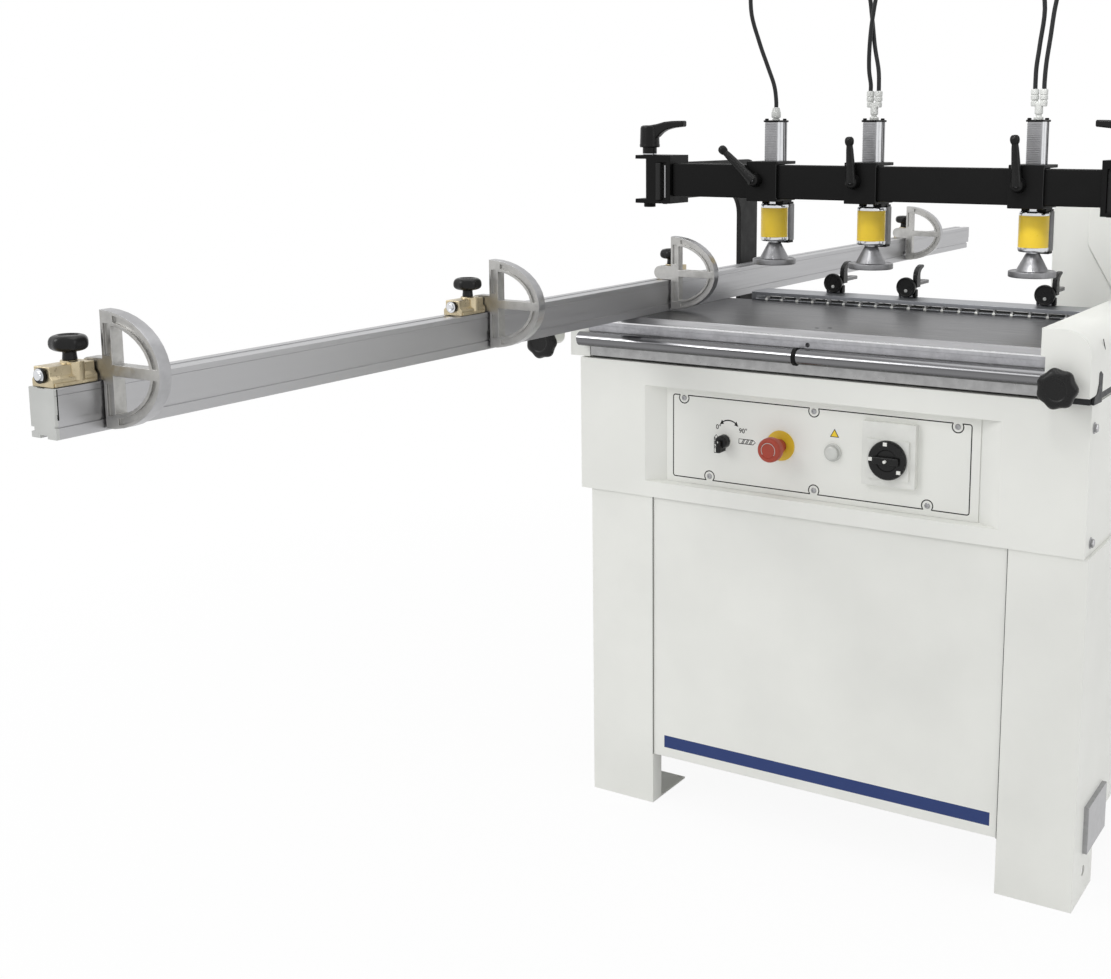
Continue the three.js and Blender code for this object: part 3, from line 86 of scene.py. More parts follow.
class Finish:
    """A node material: one shader, patterns on the piece's own coordinates in metres."""

    def __init__(self, name, metallic=0.0, roughness=0.5, coat=0.0, specular=0.5):
        self.material = bpy.data.materials.new(name)
        self.material.use_nodes = True
        self.tree = self.material.node_tree
        self.shader = self.tree.nodes["Principled BSDF"]
        self.shader.inputs["Metallic"].default_value = metallic
        self.shader.inputs["Roughness"].default_value = roughness
        self.shader.inputs["Coat Weight"].default_value = coat
        self.shader.inputs["Specular IOR Level"].default_value = specular
        self.place = self.tree.nodes.new("ShaderNodeTexCoord").outputs["Object"]

    def node(self, kind, **values):
        made = self.tree.nodes.new(kind)
        for key, value in values.items():
            name = key.replace("_", " ")
            if name in made.inputs:
                made.inputs[name].default_value = value
            else:
                setattr(made, key, value)
        return made

    def link(self, start, end):
        self.tree.links.new(start, end)

    def grain(self, scale, stretch=(1, 1, 1), detail=3.0):
        """Noise with a scale per metre, drawn out along the axes where stretch is small."""
        mapping = self.node("ShaderNodeMapping")
        mapping.inputs["Scale"].default_value = stretch
        self.link(self.place, mapping.inputs["Vector"])
        noise = self.node("ShaderNodeTexNoise", Scale=scale, Detail=detail, Roughness=0.5)
        self.link(mapping.outputs["Vector"], noise.inputs["Vector"])
        return noise.outputs["Fac"]

    def ramp(self, factor, stops):
        ramp = self.node("ShaderNodeValToRGB")
        elements = ramp.color_ramp.elements
        while len(elements) < len(stops):
            elements.new(0.5)
        for element, (place, colour) in zip(elements, stops):
            element.position = place
            element.color = (*colour, 1)
        self.link(factor, ramp.inputs["Fac"])
        return ramp.outputs["Color"]

    def spread(self, factor, low, high, start=0.3, end=0.7):
        spread = self.node("ShaderNodeMapRange")
        for key, value in (("From Min", start), ("From Max", end), ("To Min", low), ("To Max", high)):
            spread.inputs[key].default_value = value
        self.link(factor, spread.inputs["Value"])
        return spread.outputs["Result"]

    def colour(self, socket):
        self.link(socket, self.shader.inputs["Base Color"])

    def roughness(self, socket):
        self.link(socket, self.shader.inputs["Roughness"])

    def bump(self, height, distance):
        bump = self.node("ShaderNodeBump", Distance=distance, Strength=1.0)
        self.link(height, bump.inputs["Height"])
        self.link(bump.outputs["Normal"], self.shader.inputs["Normal"])

    def along(self, axis):
        split = self.node("ShaderNodeSeparateXYZ")
        self.link(self.place, split.inputs["Vector"])
        return split.outputs[axis]

    def between(self, value, low, high):
        """One where value lies between low and high, else zero."""
        over = self.node("ShaderNodeMath", operation="GREATER_THAN")
        under = self.node("ShaderNodeMath", operation="LESS_THAN")
        both = self.node("ShaderNodeMath", operation="MULTIPLY")
        for part, edge in ((over, low), (under, high)):
            self.link(value, part.inputs[0])
            part.inputs[1].default_value = edge
        self.link(over.outputs[0], both.inputs[0])
        self.link(under.outputs[0], both.inputs[1])
        return both.outputs[0]

    def mix(self, factor, first, second):
        mix = self.node("ShaderNodeMix", data_type="RGBA")
        self.link(factor, mix.inputs[0])
        for socket, value in ((mix.inputs[6], first), (mix.inputs[7], second)):
            if isinstance(value, tuple):
                socket.default_value = (*value, 1)
            else:
                self.link(value, socket)
        return mix.outputs[2]
    def clouded(self, colour, scale, dark_share, stops=(0.3, 0.7)):
        """Soft clouds, from a darker share of the colour to the colour itself."""
        tones = zip(stops, (darker(colour, dark_share), colour))
        self.colour(self.ramp(self.grain(scale), list(tones)))

    def uneven(self, factor, roughness, low_share, high_share):
        """A roughness that wanders between two shares of its value."""
        self.roughness(self.spread(factor, roughness * low_share, roughness * high_share))


def paint(name, colour, roughness, worn_share=0.94, specular=0.4):
    """Sprayed paint: slight clouding of the tone, and an orange-peel surface."""
    made = Finish(name, roughness=roughness, specular=specular)
    made.clouded(colour, 5, worn_share, (0.35, 0.65))
    made.uneven(made.grain(40), roughness, 0.85, 1.15)
    made.bump(made.grain(700, detail=1.5), 0.12 * MM)
    return made


def streaked(name, colour, roughness, stretch, dark_share=0.7, depth=0.04 * MM):
    """Metal worked in one direction: fine streaks, and broad bands of tone."""
    made = Finish(name, metallic=1.0, roughness=roughness)
    fine = made.grain(900, stretch, detail=4.0)
    broad = made.grain(75, stretch, detail=2.0)
    tone = made.ramp(fine, [(0.3, darker(colour, dark_share)), (0.7, colour)])
    wash = made.ramp(broad, [(0.3, darker(colour, (1 + dark_share) / 2)), (0.7, colour)])
    made.colour(made.mix(made.spread(broad, 0.25, 0.75), tone, wash))
    made.uneven(fine, roughness, 0.8, 1.35)
    made.bump(fine, depth)
    return made


def cast(name, colour, roughness, depth=0.3 * MM):
    """Sand-cast metal: a grainy skin with softly clouded tone."""
    made = Finish(name, metallic=1.0, roughness=roughness)
    made.clouded(colour, 60, 0.8)
    made.uneven(made.grain(250), roughness, 0.75, 1.3)
    made.bump(made.grain(420, detail=4.0), depth)
    return made


def moulded(name, colour, roughness, coat=0.0, depth=0.08 * MM, specular=0.5):
    """Moulded plastic: a faint pebble and a slightly uneven gloss."""
    made = Finish(name, roughness=roughness, coat=coat, specular=specular)
    made.clouded(colour, 30, 0.88)
    made.uneven(made.grain(120), roughness, 0.8, 1.2)
    made.bump(made.grain(900, detail=2.0), depth)
    return made


def plain(name, colour, roughness):
    """A smooth even metal, with only its tone clouded."""
    made = Finish(name, metallic=1.0, roughness=roughness)
    made.clouded(colour, 90, 0.88)
    return made


WHITE = (0.862, 0.868, 0.828)
white_paint = paint("white paint", WHITE, 0.42)
# Painted shade: a slightly darker copy of the white paint, for the rear housing's flat front beside its
# bulge
shaded_cover_paint = paint("cover paint with painted shade", darker(WHITE, 0.97), 0.45)
black_paint = paint("black paint", (0.0045, 0.0045, 0.0045), 0.46, worn_share=0.7, specular=0.12)
arm_paint = paint("arm paint", (0.016, 0.016, 0.016), 0.5, worn_share=0.8, specular=0.2)
black_plastic = moulded("black plastic", (0.006, 0.006, 0.006), 0.3, specular=0.2)
knob_plastic = moulded("knob plastic", (0.008, 0.008, 0.008), 0.3, specular=0.26, depth=0.02 * MM)
red_plastic = moulded("red button", (0.40, 0.06, 0.035), 0.35, specular=0.35)
yellow_plastic = moulded("yellow ring", (0.78, 0.53, 0.035), 0.4)
grey_plastic = moulded("light grey plastic", (0.60, 0.61, 0.59), 0.38)
plate_plastic = moulded("switch plate", darker(WHITE, 0.93), 0.4)
lamp_plastic = moulded("pale button", (0.66, 0.67, 0.64), 0.22, coat=0.3)
ground_steel = streaked("ground table", (0.136, 0.136, 0.142), 0.34, (0.012, 1, 1), dark_share=0.68)
bevel_steel = streaked("bevelled edge", (0.27, 0.27, 0.275), 0.45, (0.012, 1, 1), dark_share=0.85)
knurl_steel = cast("knurled band", (0.46, 0.46, 0.48), 0.45, depth=0.2 * MM)
# A painted highlight: the bright steel of the line along the table's front edge
glint_paint_steel = plain("painted edge glint", (0.80, 0.80, 0.81), 0.25)
rail_steel = cast("rail steel", (0.42, 0.42, 0.42), 0.36, depth=0.03 * MM)
fence_steel = streaked("fence steel", (0.34, 0.35, 0.37), 0.34, (0.02, 1, 1))
bar_alloy = streaked(
    "drawn bar", (0.47, 0.47, 0.48), 0.36, (1, 0.006, 1), dark_share=0.93, depth=0.008 * MM
)
cast_alloy = cast("cast sector", (0.50, 0.495, 0.48), 0.4, depth=0.06 * MM)
foot_alloy = cast("cast foot", (0.29, 0.29, 0.30), 0.42, depth=0.04 * MM)
bright_edge = plain("turned edge", (0.42, 0.42, 0.43), 0.3)
chrome = plain("chromed tube", (0.74, 0.75, 0.77), 0.12)
strip_alloy = plain("ribbed strip", (0.33, 0.33, 0.34), 0.38)
brass_block = cast("cast brass", (0.62, 0.53, 0.36), 0.33, depth=0.05 * MM)
bar_steel = plain("slotted steel", (0.20, 0.20, 0.205), 0.4)
grey_iron = cast("machined iron", (0.16, 0.165, 0.17), 0.45)
# Dark inserts on the fence and the stop bars, and also the painted shade beside the right casting
dark_insert_and_shade = moulded("dark insert and painted shade", (0.03, 0.031, 0.033), 0.45, specular=0.2)
# Painted shade: a grey for the strip seen through the fence's openings, in place of the shade behind them
shaded_filling_grey = moulded("shaded filling grey", (0.22, 0.22, 0.22), 0.5)
band_yellow = moulded("yellow band", (0.95, 0.66, 0.03), 0.34, coat=0.1)
hose_rubber = moulded("hose rubber", (0.014, 0.015, 0.016), 0.36, specular=0.25)
line_ink = moulded("printed line", (0.012, 0.012, 0.012), 0.5, depth=0.01 * MM, specular=0.15)
zinc = plain("plated steel", (0.40, 0.40, 0.41), 0.3)

# Painted highlight and shade on the guide rod: its tone runs in bands up its height, darkest at the bottom,
# with a thin bright line above the middle, in place of its reflections
ROD_PAINTED_HIGHLIGHT_BANDS = [
    (0.0, 0.05), (0.22, 0.10), (0.36, 0.20), (0.5, 0.18), (0.59, 0.13), (0.62, 0.55), (0.65, 0.55),
    (0.68, 0.13), (0.82, 0.2), (1.0, 0.13),
]
rod_painted_highlight = Finish("polished rod with painted highlight", metallic=1.0, roughness=0.2)
rod_box_low, rod_box_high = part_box("guide_rod")
rod_painted_highlight.colour(rod_painted_highlight.ramp(
    rod_painted_highlight.spread(rod_painted_highlight.along("Z"), 0, 1, rod_box_low.z, rod_box_high.z),
    [(place, (tone, tone, tone * 1.03)) for place, tone in ROD_PAINTED_HIGHLIGHT_BANDS],
))

panel_low, panel_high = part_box("front_panel")
STRIPE_INSETS = (22.6 * MM, 12.6 * MM)
STRIPE_HEIGHTS = (18 * MM, 41 * MM)
panel_paint = paint("panel paint", WHITE, 0.42)
STRIPE_BLUE = (0.012, 0.036, 0.16)
stripe_wide = panel_paint.between(
    panel_paint.along("X"), panel_low.x + STRIPE_INSETS[0], panel_high.x - STRIPE_INSETS[1]
)
stripe_tall = panel_paint.between(
    panel_paint.along("Z"), panel_low.z + STRIPE_HEIGHTS[0], panel_low.z + STRIPE_HEIGHTS[1]
)
stripe = panel_paint.node("ShaderNodeMath", operation="MULTIPLY")
panel_paint.link(stripe_wide, stripe.inputs[0])
panel_paint.link(stripe_tall, stripe.inputs[1])
plain_tone = panel_paint.shader.inputs["Base Color"].links[0].from_socket
panel_paint.colour(panel_paint.mix(stripe.outputs[0], plain_tone, STRIPE_BLUE))


# Making pieces
# The frame's origin, in the drawing's millimetres
MIDDLE = (412.75, 285.0, 0.0)
DRAWING = Matrix.Scale(MM, 4) @ Matrix.Translation([-part for part in MIDDLE])
AXES = {"x": (1, 0, 0), "y": (0, 1, 0), "z": (0, 0, 1)}
# Angles in degrees: flatter edges are merged, sharper ones are rounded or stay creased
FLAT_ANGLE, SHARP_ANGLE, CREASE_ANGLE = 1, 32, 33
WELD_GAP = 0.02 * MM


def drawn(node):
    """A solid's two corners in the drawing's millimetres."""
    return [corner / MM + Vector(MIDDLE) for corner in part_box(node)]


def turn_to(axis):
    """The turn that takes +Z to an axis."""
    way = Vector(AXES[axis] if isinstance(axis, str) else axis)
    return way.to_track_quat("Z", "Y").to_matrix().to_4x4()

def round_rims(part, rims, edge, segments, clamp=False):
    """Rounds some edges of a shape."""
    bmesh.ops.bevel(
        part, geom=rims, offset=edge, segments=segments, profile=0.5, affect="EDGES", clamp_overlap=clamp
    )


def riding(made, body, replaces):
    """The object, riding on its body."""
    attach(made, body)
    if replaces:
        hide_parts(*replaces)
    return made


class Piece:
    """Closed shapes gathered in one mesh, each with its finish, drawn in millimetres."""

    def __init__(self, name, place=DRAWING):
        self.name = name
        self.place = place
        self.shape = bmesh.new()
        self.finishes = []

    def _index(self, finish):
        if finish not in self.finishes:
            self.finishes.append(finish)
        return self.finishes.index(finish)

    def _pour(self, part):
        mesh = bpy.data.meshes.new("part")
        part.to_mesh(mesh)
        part.free()
        self.shape.from_mesh(mesh)
        bpy.data.meshes.remove(mesh)

    def _take(self, part, finish):
        bmesh.ops.transform(part, matrix=self.place, verts=part.verts)
        bmesh.ops.recalc_face_normals(part, faces=part.faces)
        for face in part.faces:
            face.material_index = self._index(finish)
            face.smooth = True
        self._pour(part)

    def slab(self, low, high, finish, edge=0.0, segments=2):
        """A block between two corners with rounded edges."""
        part = bmesh.new()
        size = Vector(high) - Vector(low)
        place = Matrix.Translation((Vector(high) + Vector(low)) / 2) @ Matrix.Diagonal((*size, 1))
        bmesh.ops.create_cube(part, size=1, matrix=place)
        if edge:
            round_rims(part, part.edges[:], edge, segments)
        self._take(part, finish)

    def prism(self, axis, outline, start, end, finish, edge=0.0, segments=2):
        """An outline pushed along an axis, with rounded rims."""
        part = bmesh.new()
        order = {"x": (2, 0, 1), "y": (0, 2, 1), "z": (0, 1, 2)}[axis]
        rings = []
        for place in (start, end):
            spots = [(u, v, place) for u, v in outline]
            rings.append([part.verts.new([spot[i] for i in order]) for spot in spots])
        near, far = rings
        sides = [(i, (i + 1) % len(outline)) for i in range(len(outline))]
        part.faces.new(near)
        part.faces.new(far[::-1])
        for i, j in sides:
            part.faces.new((near[i], far[i], far[j], near[j]))
        bmesh.ops.recalc_face_normals(part, faces=part.faces)
        if edge:
            rims = [part.edges.get((ring[i], ring[j])) for ring in rings for i, j in sides]
            round_rims(part, rims, edge, segments)
        self._take(part, finish)

    def turned(self, axis, centre, profile, finish, sides=48):
        """A turned body: the profile is (radius, distance along the axis) from centre."""
        part = bmesh.new()
        angles = [2 * math.pi * i / sides for i in range(sides)]
        rings = []
        for radius, along in profile:
            spots = [(radius * math.cos(a), radius * math.sin(a), along) for a in angles]
            if radius <= 0:
                spots = [(0, 0, along)]
            rings.append([part.verts.new(spot) for spot in spots])
        for near, far in zip(rings, rings[1:]):
            for i in range(sides):
                j = (i + 1) % sides
                corners = [(near, i), (near, j), (far, j), (far, i)]
                kept = list(dict.fromkeys(ring[k % len(ring)] for ring, k in corners))
                if len(kept) > 2:
                    part.faces.new(kept)
        place = Matrix.Translation(centre) @ turn_to(axis)
        bmesh.ops.transform(part, matrix=place, verts=part.verts)
        self._take(part, finish)

    def copied(self, node, finish_at, edge):
        """A CAD node's own solid with its edges rounded; finish_at gives the finish at a point."""
        part = bmesh.new()
        part.from_mesh(frame["nodes"][node].data)
        bmesh.ops.remove_doubles(part, verts=part.verts, dist=WELD_GAP)
        bmesh.ops.dissolve_limit(
            part, angle_limit=math.radians(FLAT_ANGLE), verts=part.verts, edges=part.edges, delimit=set()
        )
        rims = [
            rim for rim in part.edges
            if len(rim.link_faces) == 2 and rim.calc_face_angle(0) > math.radians(SHARP_ANGLE)
        ]
        round_rims(part, rims, edge, 2, clamp=True)
        for face in part.faces:
            centre = face.calc_center_median() / MM + Vector(MIDDLE)
            face.material_index = self._index(finish_at(centre) if callable(finish_at) else finish_at)
            face.smooth = True
        self._pour(part)

    def made(self, body, slot, replaces=()):
        """The finished object, riding on its body."""
        mesh = bpy.data.meshes.new(self.name)
        self.shape.to_mesh(mesh)
        self.shape.free()
        for finish in self.finishes:
            mesh.materials.append(finish.material)
        mesh.set_sharp_from_angle(angle=math.radians(CREASE_ANGLE))
        made = in_scene(self.name, mesh)
        shading = made.modifiers.new("shading", "WEIGHTED_NORMAL")
        shading.keep_sharp = True
        return riding(made, body, replaces)


def rounded(node, finish_at, edge):
    """Stands for a CAD node: the same solid with rounded edges and its finish."""
    piece = Piece(node + "_finished")
    piece.copied(node, finish_at, edge)
    return piece.made(body_of_node[node], record_slots[node], [node])


# Hoses
HOSE_WIDE = 7.5 * MM
HOSE_STEPS = 6
HOSE_ROUTES = {
    "hose_1": [
        (-0.15175, -0.033, 1.2633), (-0.15175, -0.033, 1.272), (-0.15575, -0.033, 1.3),
        (-0.16975, -0.033, 1.336), (-0.18675, -0.033, 1.378), (-0.20475, -0.033, 1.438),
        (-0.19875, -0.031, 1.505), (-0.15075, -0.028, 1.562), (-0.07475, -0.026, 1.568),
        (-0.01275, -0.026, 1.525), (0.01925, -0.027, 1.46), (0.02725, -0.027, 1.415),
        (0.03425, -0.028, 1.365), (0.04325, -0.031, 1.325), (0.04525, -0.033, 1.301),
        (0.04525, -0.033, 1.2903),
    ],
    "hose_2": [
        (0.03025, -0.033, 1.2903), (0.03025, -0.033, 1.301), (0.02725, -0.035, 1.325),
        (0.02825, -0.038, 1.365), (0.03325, -0.039, 1.415), (0.04525, -0.039, 1.47),
        (0.08725, -0.037, 1.545), (0.16725, -0.035, 1.583), (0.24725, -0.034, 1.56),
        (0.30325, -0.033, 1.5), (0.32925, -0.033, 1.43), (0.32425, -0.033, 1.36),
        (0.32025, -0.033, 1.325), (0.31975, -0.033, 1.301), (0.31975, -0.033, 1.2903),
    ],
    "hose_3": [
        (0.33475, -0.033, 1.2903), (0.33475, -0.033, 1.301), (0.33625, -0.033, 1.33),
        (0.34125, -0.033, 1.372), (0.34825, -0.033, 1.428), (0.36525, -0.033, 1.49),
        (0.40525, -0.033, 1.532), (0.45725, -0.033, 1.52), (0.49525, -0.034, 1.455),
        (0.51125, -0.035, 1.37), (0.51525, -0.035, 1.285), (0.51525, -0.035, 1.215),
        (0.51525, -0.035, 1.2003),
    ],
}


def centripetal(points, steps):
    """A smooth curve through the points, with the same spacing rule as the solids."""
    spots = [Vector(p) for p in points]
    ends = [2 * spots[0] - spots[1], *spots, 2 * spots[-1] - spots[-2]]
    line = [spots[0]]
    for a, b, c, d in zip(ends, ends[1:], ends[2:], ends[3:]):
        gaps = [max(math.sqrt((q - p).length), 1e-6) for p, q in ((a, b), (b, c), (c, d))]
        start = (b - a) / gaps[0] - (c - a) / (gaps[0] + gaps[1]) + (c - b) / gaps[1]
        close = (c - b) / gaps[1] - (d - b) / (gaps[1] + gaps[2]) + (d - c) / gaps[2]
        start *= gaps[1]
        close *= gaps[1]
        for i in range(1, steps + 1):
            t = i / steps
            line.append(
                b * (2 * t**3 - 3 * t**2 + 1)
                + start * (t**3 - 2 * t**2 + t)
                + c * (3 * t**2 - 2 * t**3)
                + close * (t**3 - t**2)
            )
    return line


for hose, route in HOSE_ROUTES.items():
    line = centripetal(route, HOSE_STEPS)
    curve = bpy.data.curves.new(hose + "_rubber", "CURVE")
    curve.dimensions = "3D"
    curve.bevel_depth = HOSE_WIDE / 2
    curve.bevel_resolution = 4
    curve.use_fill_caps = True
    spline = curve.splines.new("POLY")
    spline.points.add(len(line) - 1)
    for point, spot in zip(spline.points, line):
        point.co = (*spot, 1)
    spline.use_smooth = True
    curve.materials.append(hose_rubber.material)
    tube = in_scene(hose + "_rubber", curve)
    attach(tube, body_of_node[hose])
    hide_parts(hose)

# Grown by geometry nodes
TREE_WELD = 0.01


def new_tree(name, sockets):
    tree = bpy.data.node_groups.new(name, "GeometryNodeTree")
    tree.interface.new_socket("Geometry", in_out="INPUT", socket_type="NodeSocketGeometry")
    for label, kind in sockets:
        tree.interface.new_socket(label, in_out="INPUT", socket_type=kind)
    tree.interface.new_socket("Geometry", in_out="OUTPUT", socket_type="NodeSocketGeometry")
    return tree, tree.nodes.new("NodeGroupInput"), tree.nodes.new("NodeGroupOutput")


def close_tree(tree, source, start, goal):
    """Ends a tree: real geometry with the piece's finish."""
    real = tree.nodes.new("GeometryNodeRealizeInstances")
    cover = tree.nodes.new("GeometryNodeSetMaterial")
    tree.links.new(start, real.inputs["Geometry"])
    tree.links.new(real.outputs["Geometry"], cover.inputs["Geometry"])
    tree.links.new(source.outputs["Finish"], cover.inputs["Material"])
    tree.links.new(cover.outputs["Geometry"], goal.inputs["Geometry"])


def grown(name, tree, base, values, body, place=DRAWING, replaces=()):
    """Runs a tree on base data and keeps the result as a plain mesh riding on its body."""
    source = in_scene(name + "_base", base)
    growth = source.modifiers.new("growth", "NODES")
    growth.node_group = tree
    for item in tree.interface.items_tree:
        if item.item_type == "SOCKET" and item.in_out == "INPUT" and item.name in values:
            growth[item.identifier] = values[item.name]
    bpy.context.view_layer.update()
    graph = bpy.context.evaluated_depsgraph_get()
    mesh = bpy.data.meshes.new_from_object(source.evaluated_get(graph))
    source.modifiers.remove(growth)
    bpy.data.objects.remove(source)
    mesh.name = name
    mesh.transform(place)
    mesh.set_sharp_from_angle(angle=math.radians(CREASE_ANGLE))
    return riding(in_scene(name, mesh), body, replaces)


def repeat_tree():
    """One shape at every point."""
    tree, source, goal = new_tree("repeat", [
        ("Shape", "NodeSocketObject"), ("Finish", "NodeSocketMaterial"),
    ])
    shape = tree.nodes.new("GeometryNodeObjectInfo")
    spread = tree.nodes.new("GeometryNodeInstanceOnPoints")
    tree.links.new(source.outputs["Shape"], shape.inputs["Object"])
    tree.links.new(source.outputs["Geometry"], spread.inputs["Points"])
    tree.links.new(shape.outputs["Geometry"], spread.inputs["Instance"])
    close_tree(tree, source, spread.outputs["Instances"], goal)
    return tree


def drawn_tree():
    """A flat outline, with its holes, drawn out to a length."""
    tree, source, goal = new_tree("drawn bar", [
        ("Length", "NodeSocketFloat"), ("Finish", "NodeSocketMaterial"),
    ])
    fill = tree.nodes.new("GeometryNodeFillCurve")
    push = tree.nodes.new("GeometryNodeExtrudeMesh")
    flip = tree.nodes.new("GeometryNodeFlipFaces")
    both = tree.nodes.new("GeometryNodeJoinGeometry")
    weld = tree.nodes.new("GeometryNodeMergeByDistance")
    way = tree.nodes.new("ShaderNodeCombineXYZ")
    weld.inputs["Distance"].default_value = TREE_WELD
    push.inputs["Individual"].default_value = False
    tree.links.new(source.outputs["Geometry"], fill.inputs["Curve"])
    tree.links.new(source.outputs["Length"], way.inputs["Z"])
    tree.links.new(fill.outputs["Mesh"], push.inputs["Mesh"])
    tree.links.new(way.outputs["Vector"], push.inputs["Offset"])
    push.inputs["Offset Scale"].default_value = 1.0
    tree.links.new(fill.outputs["Mesh"], flip.inputs["Mesh"])
    tree.links.new(flip.outputs["Mesh"], both.inputs["Geometry"])
    tree.links.new(push.outputs["Mesh"], both.inputs["Geometry"])
    tree.links.new(both.outputs["Geometry"], weld.inputs["Geometry"])
    close_tree(tree, source, weld.outputs["Geometry"], goal)
    return tree


def line_tree():
    """A round line along a path."""
    tree, source, goal = new_tree("line", [
        ("Width", "NodeSocketFloat"), ("Finish", "NodeSocketMaterial"),
    ])
    half = tree.nodes.new("ShaderNodeMath")
    half.operation = "MULTIPLY"
    half.inputs[1].default_value = 0.5
    ring = tree.nodes.new("GeometryNodeCurvePrimitiveCircle")
    ring.inputs["Resolution"].default_value = 8
    sweep = tree.nodes.new("GeometryNodeCurveToMesh")
    sweep.inputs["Fill Caps"].default_value = True
    tree.links.new(source.outputs["Width"], half.inputs[0])
    tree.links.new(half.outputs[0], ring.inputs["Radius"])
    tree.links.new(source.outputs["Geometry"], sweep.inputs["Curve"])
    tree.links.new(ring.outputs["Curve"], sweep.inputs["Profile Curve"])
    close_tree(tree, source, sweep.outputs["Mesh"], goal)
    return tree


KNOB_RADIUS_CURVE = [
    (0.0, 0.0), (0.06, 0.36), (0.26, 0.36), (0.34, 0.62), (0.42, 0.87), (0.5, 0.98), (0.58, 1.0),
    (0.68, 0.96), (0.76, 0.86), (0.84, 0.68), (0.9, 0.56), (0.94, 0.5), (1.0, 0.0),
]
KNOB_HEIGHT_CURVE = [
    (0.0, 0.0), (0.06, 0.0), (0.26, 0.32), (0.34, 0.36), (0.42, 0.44), (0.5, 0.55), (0.58, 0.68),
    (0.68, 0.83), (0.76, 0.93), (0.84, 0.99), (0.9, 1.0), (0.94, 0.95), (1.0, 0.94),
]
KNOB_LOBE_CURVE = [
    (0.0, 0.0), (0.3, 0.0), (0.42, 0.8), (0.5, 1.0), (0.66, 1.0), (0.78, 0.5), (0.86, 0.0), (1.0, 0.0),
]
KNOB_TURNS = 127
KNOB_ROWS = 36


def knob_tree():
    """A lobed hand knob: a wrapped grid, whose rows follow three curves."""
    tree, source, goal = new_tree("lobed knob", [
        ("Radius", "NodeSocketFloat"), ("Height", "NodeSocketFloat"), ("Lobes", "NodeSocketFloat"),
        ("Lobe share", "NodeSocketFloat"), ("Finish", "NodeSocketMaterial"),
    ])
    nodes, links = tree.nodes, tree.links

    def maths(operation, first, second=None):
        made = nodes.new("ShaderNodeMath")
        made.operation = operation
        for socket, value in zip(made.inputs, (first, second)):
            if isinstance(value, (int, float)):
                socket.default_value = value
            elif value is not None:
                links.new(value, socket)
        return made.outputs[0]

    def curve(points, value):
        made = nodes.new("ShaderNodeFloatCurve")
        line = made.mapping.curves[0]
        while len(line.points) < len(points):
            line.points.new(0.5, 0.5)
        for point, (x, y) in zip(line.points, points):
            point.location = (x, y)
            point.handle_type = "AUTO"
        made.mapping.update()
        links.new(value, made.inputs["Value"])
        return made.outputs["Value"]

    grid = nodes.new("GeometryNodeMeshGrid")
    grid.inputs["Vertices X"].default_value = KNOB_TURNS
    grid.inputs["Vertices Y"].default_value = KNOB_ROWS
    grid.inputs["Size X"].default_value = 1.0
    grid.inputs["Size Y"].default_value = 1.0
    split = nodes.new("ShaderNodeSeparateXYZ")
    links.new(nodes.new("GeometryNodeInputPosition").outputs[0], split.inputs[0])
    angle = maths("MULTIPLY", maths("ADD", split.outputs["X"], 0.5), 2 * math.pi)
    row = maths("ADD", split.outputs["Y"], 0.5)
    wave = maths("SUBTRACT", 1.0, maths("COSINE", maths("MULTIPLY", angle, source.outputs["Lobes"])))
    lobes = maths("MULTIPLY", wave, source.outputs["Lobe share"])
    depth = maths("MULTIPLY", lobes, curve(KNOB_LOBE_CURVE, row))
    reach = maths(
        "MULTIPLY",
        maths("MULTIPLY", curve(KNOB_RADIUS_CURVE, row), source.outputs["Radius"]),
        maths("SUBTRACT", 1.0, depth),
    )
    place = nodes.new("ShaderNodeCombineXYZ")
    links.new(maths("MULTIPLY", reach, maths("COSINE", angle)), place.inputs["X"])
    links.new(maths("MULTIPLY", reach, maths("SINE", angle)), place.inputs["Y"])
    height = maths("MULTIPLY", curve(KNOB_HEIGHT_CURVE, row), source.outputs["Height"])
    links.new(height, place.inputs["Z"])
    move = nodes.new("GeometryNodeSetPosition")
    weld = nodes.new("GeometryNodeMergeByDistance")
    weld.inputs["Distance"].default_value = TREE_WELD
    links.new(grid.outputs["Mesh"], move.inputs["Geometry"])
    links.new(place.outputs["Vector"], move.inputs["Position"])
    links.new(move.outputs["Geometry"], weld.inputs["Geometry"])
    close_tree(tree, source, weld.outputs["Geometry"], goal)
    return tree


REPEAT = repeat_tree()
DRAWN = drawn_tree()
LINE = line_tree()
KNOB = knob_tree()


def repeated(name, shape, points, finish, body):
    """The shape, a Piece drawn about zero with no place of its own, at every point."""
    mesh = bpy.data.meshes.new(name + "_shape")
    shape.shape.to_mesh(mesh)
    shape.shape.free()
    single = in_scene(name + "_shape", mesh)
    spots = bpy.data.meshes.new(name + "_points")
    spots.from_pydata([tuple(p) for p in points], [], [])
    made = grown(name, REPEAT, spots, {"Shape": single, "Finish": finish.material}, body)
    bpy.data.objects.remove(single)
    return made


def outline_curve(name, outlines, closed=True):
    curve = bpy.data.curves.new(name, "CURVE")
    curve.dimensions = "2D" if closed else "3D"
    for outline in outlines:
        spline = curve.splines.new("POLY")
        spline.points.add(len(outline) - 1)
        spline.use_cyclic_u = closed
        for point, spot in zip(spline.points, outline):
            point.co = (*spot, *(0,) * (3 - len(spot)), 1)
    return curve


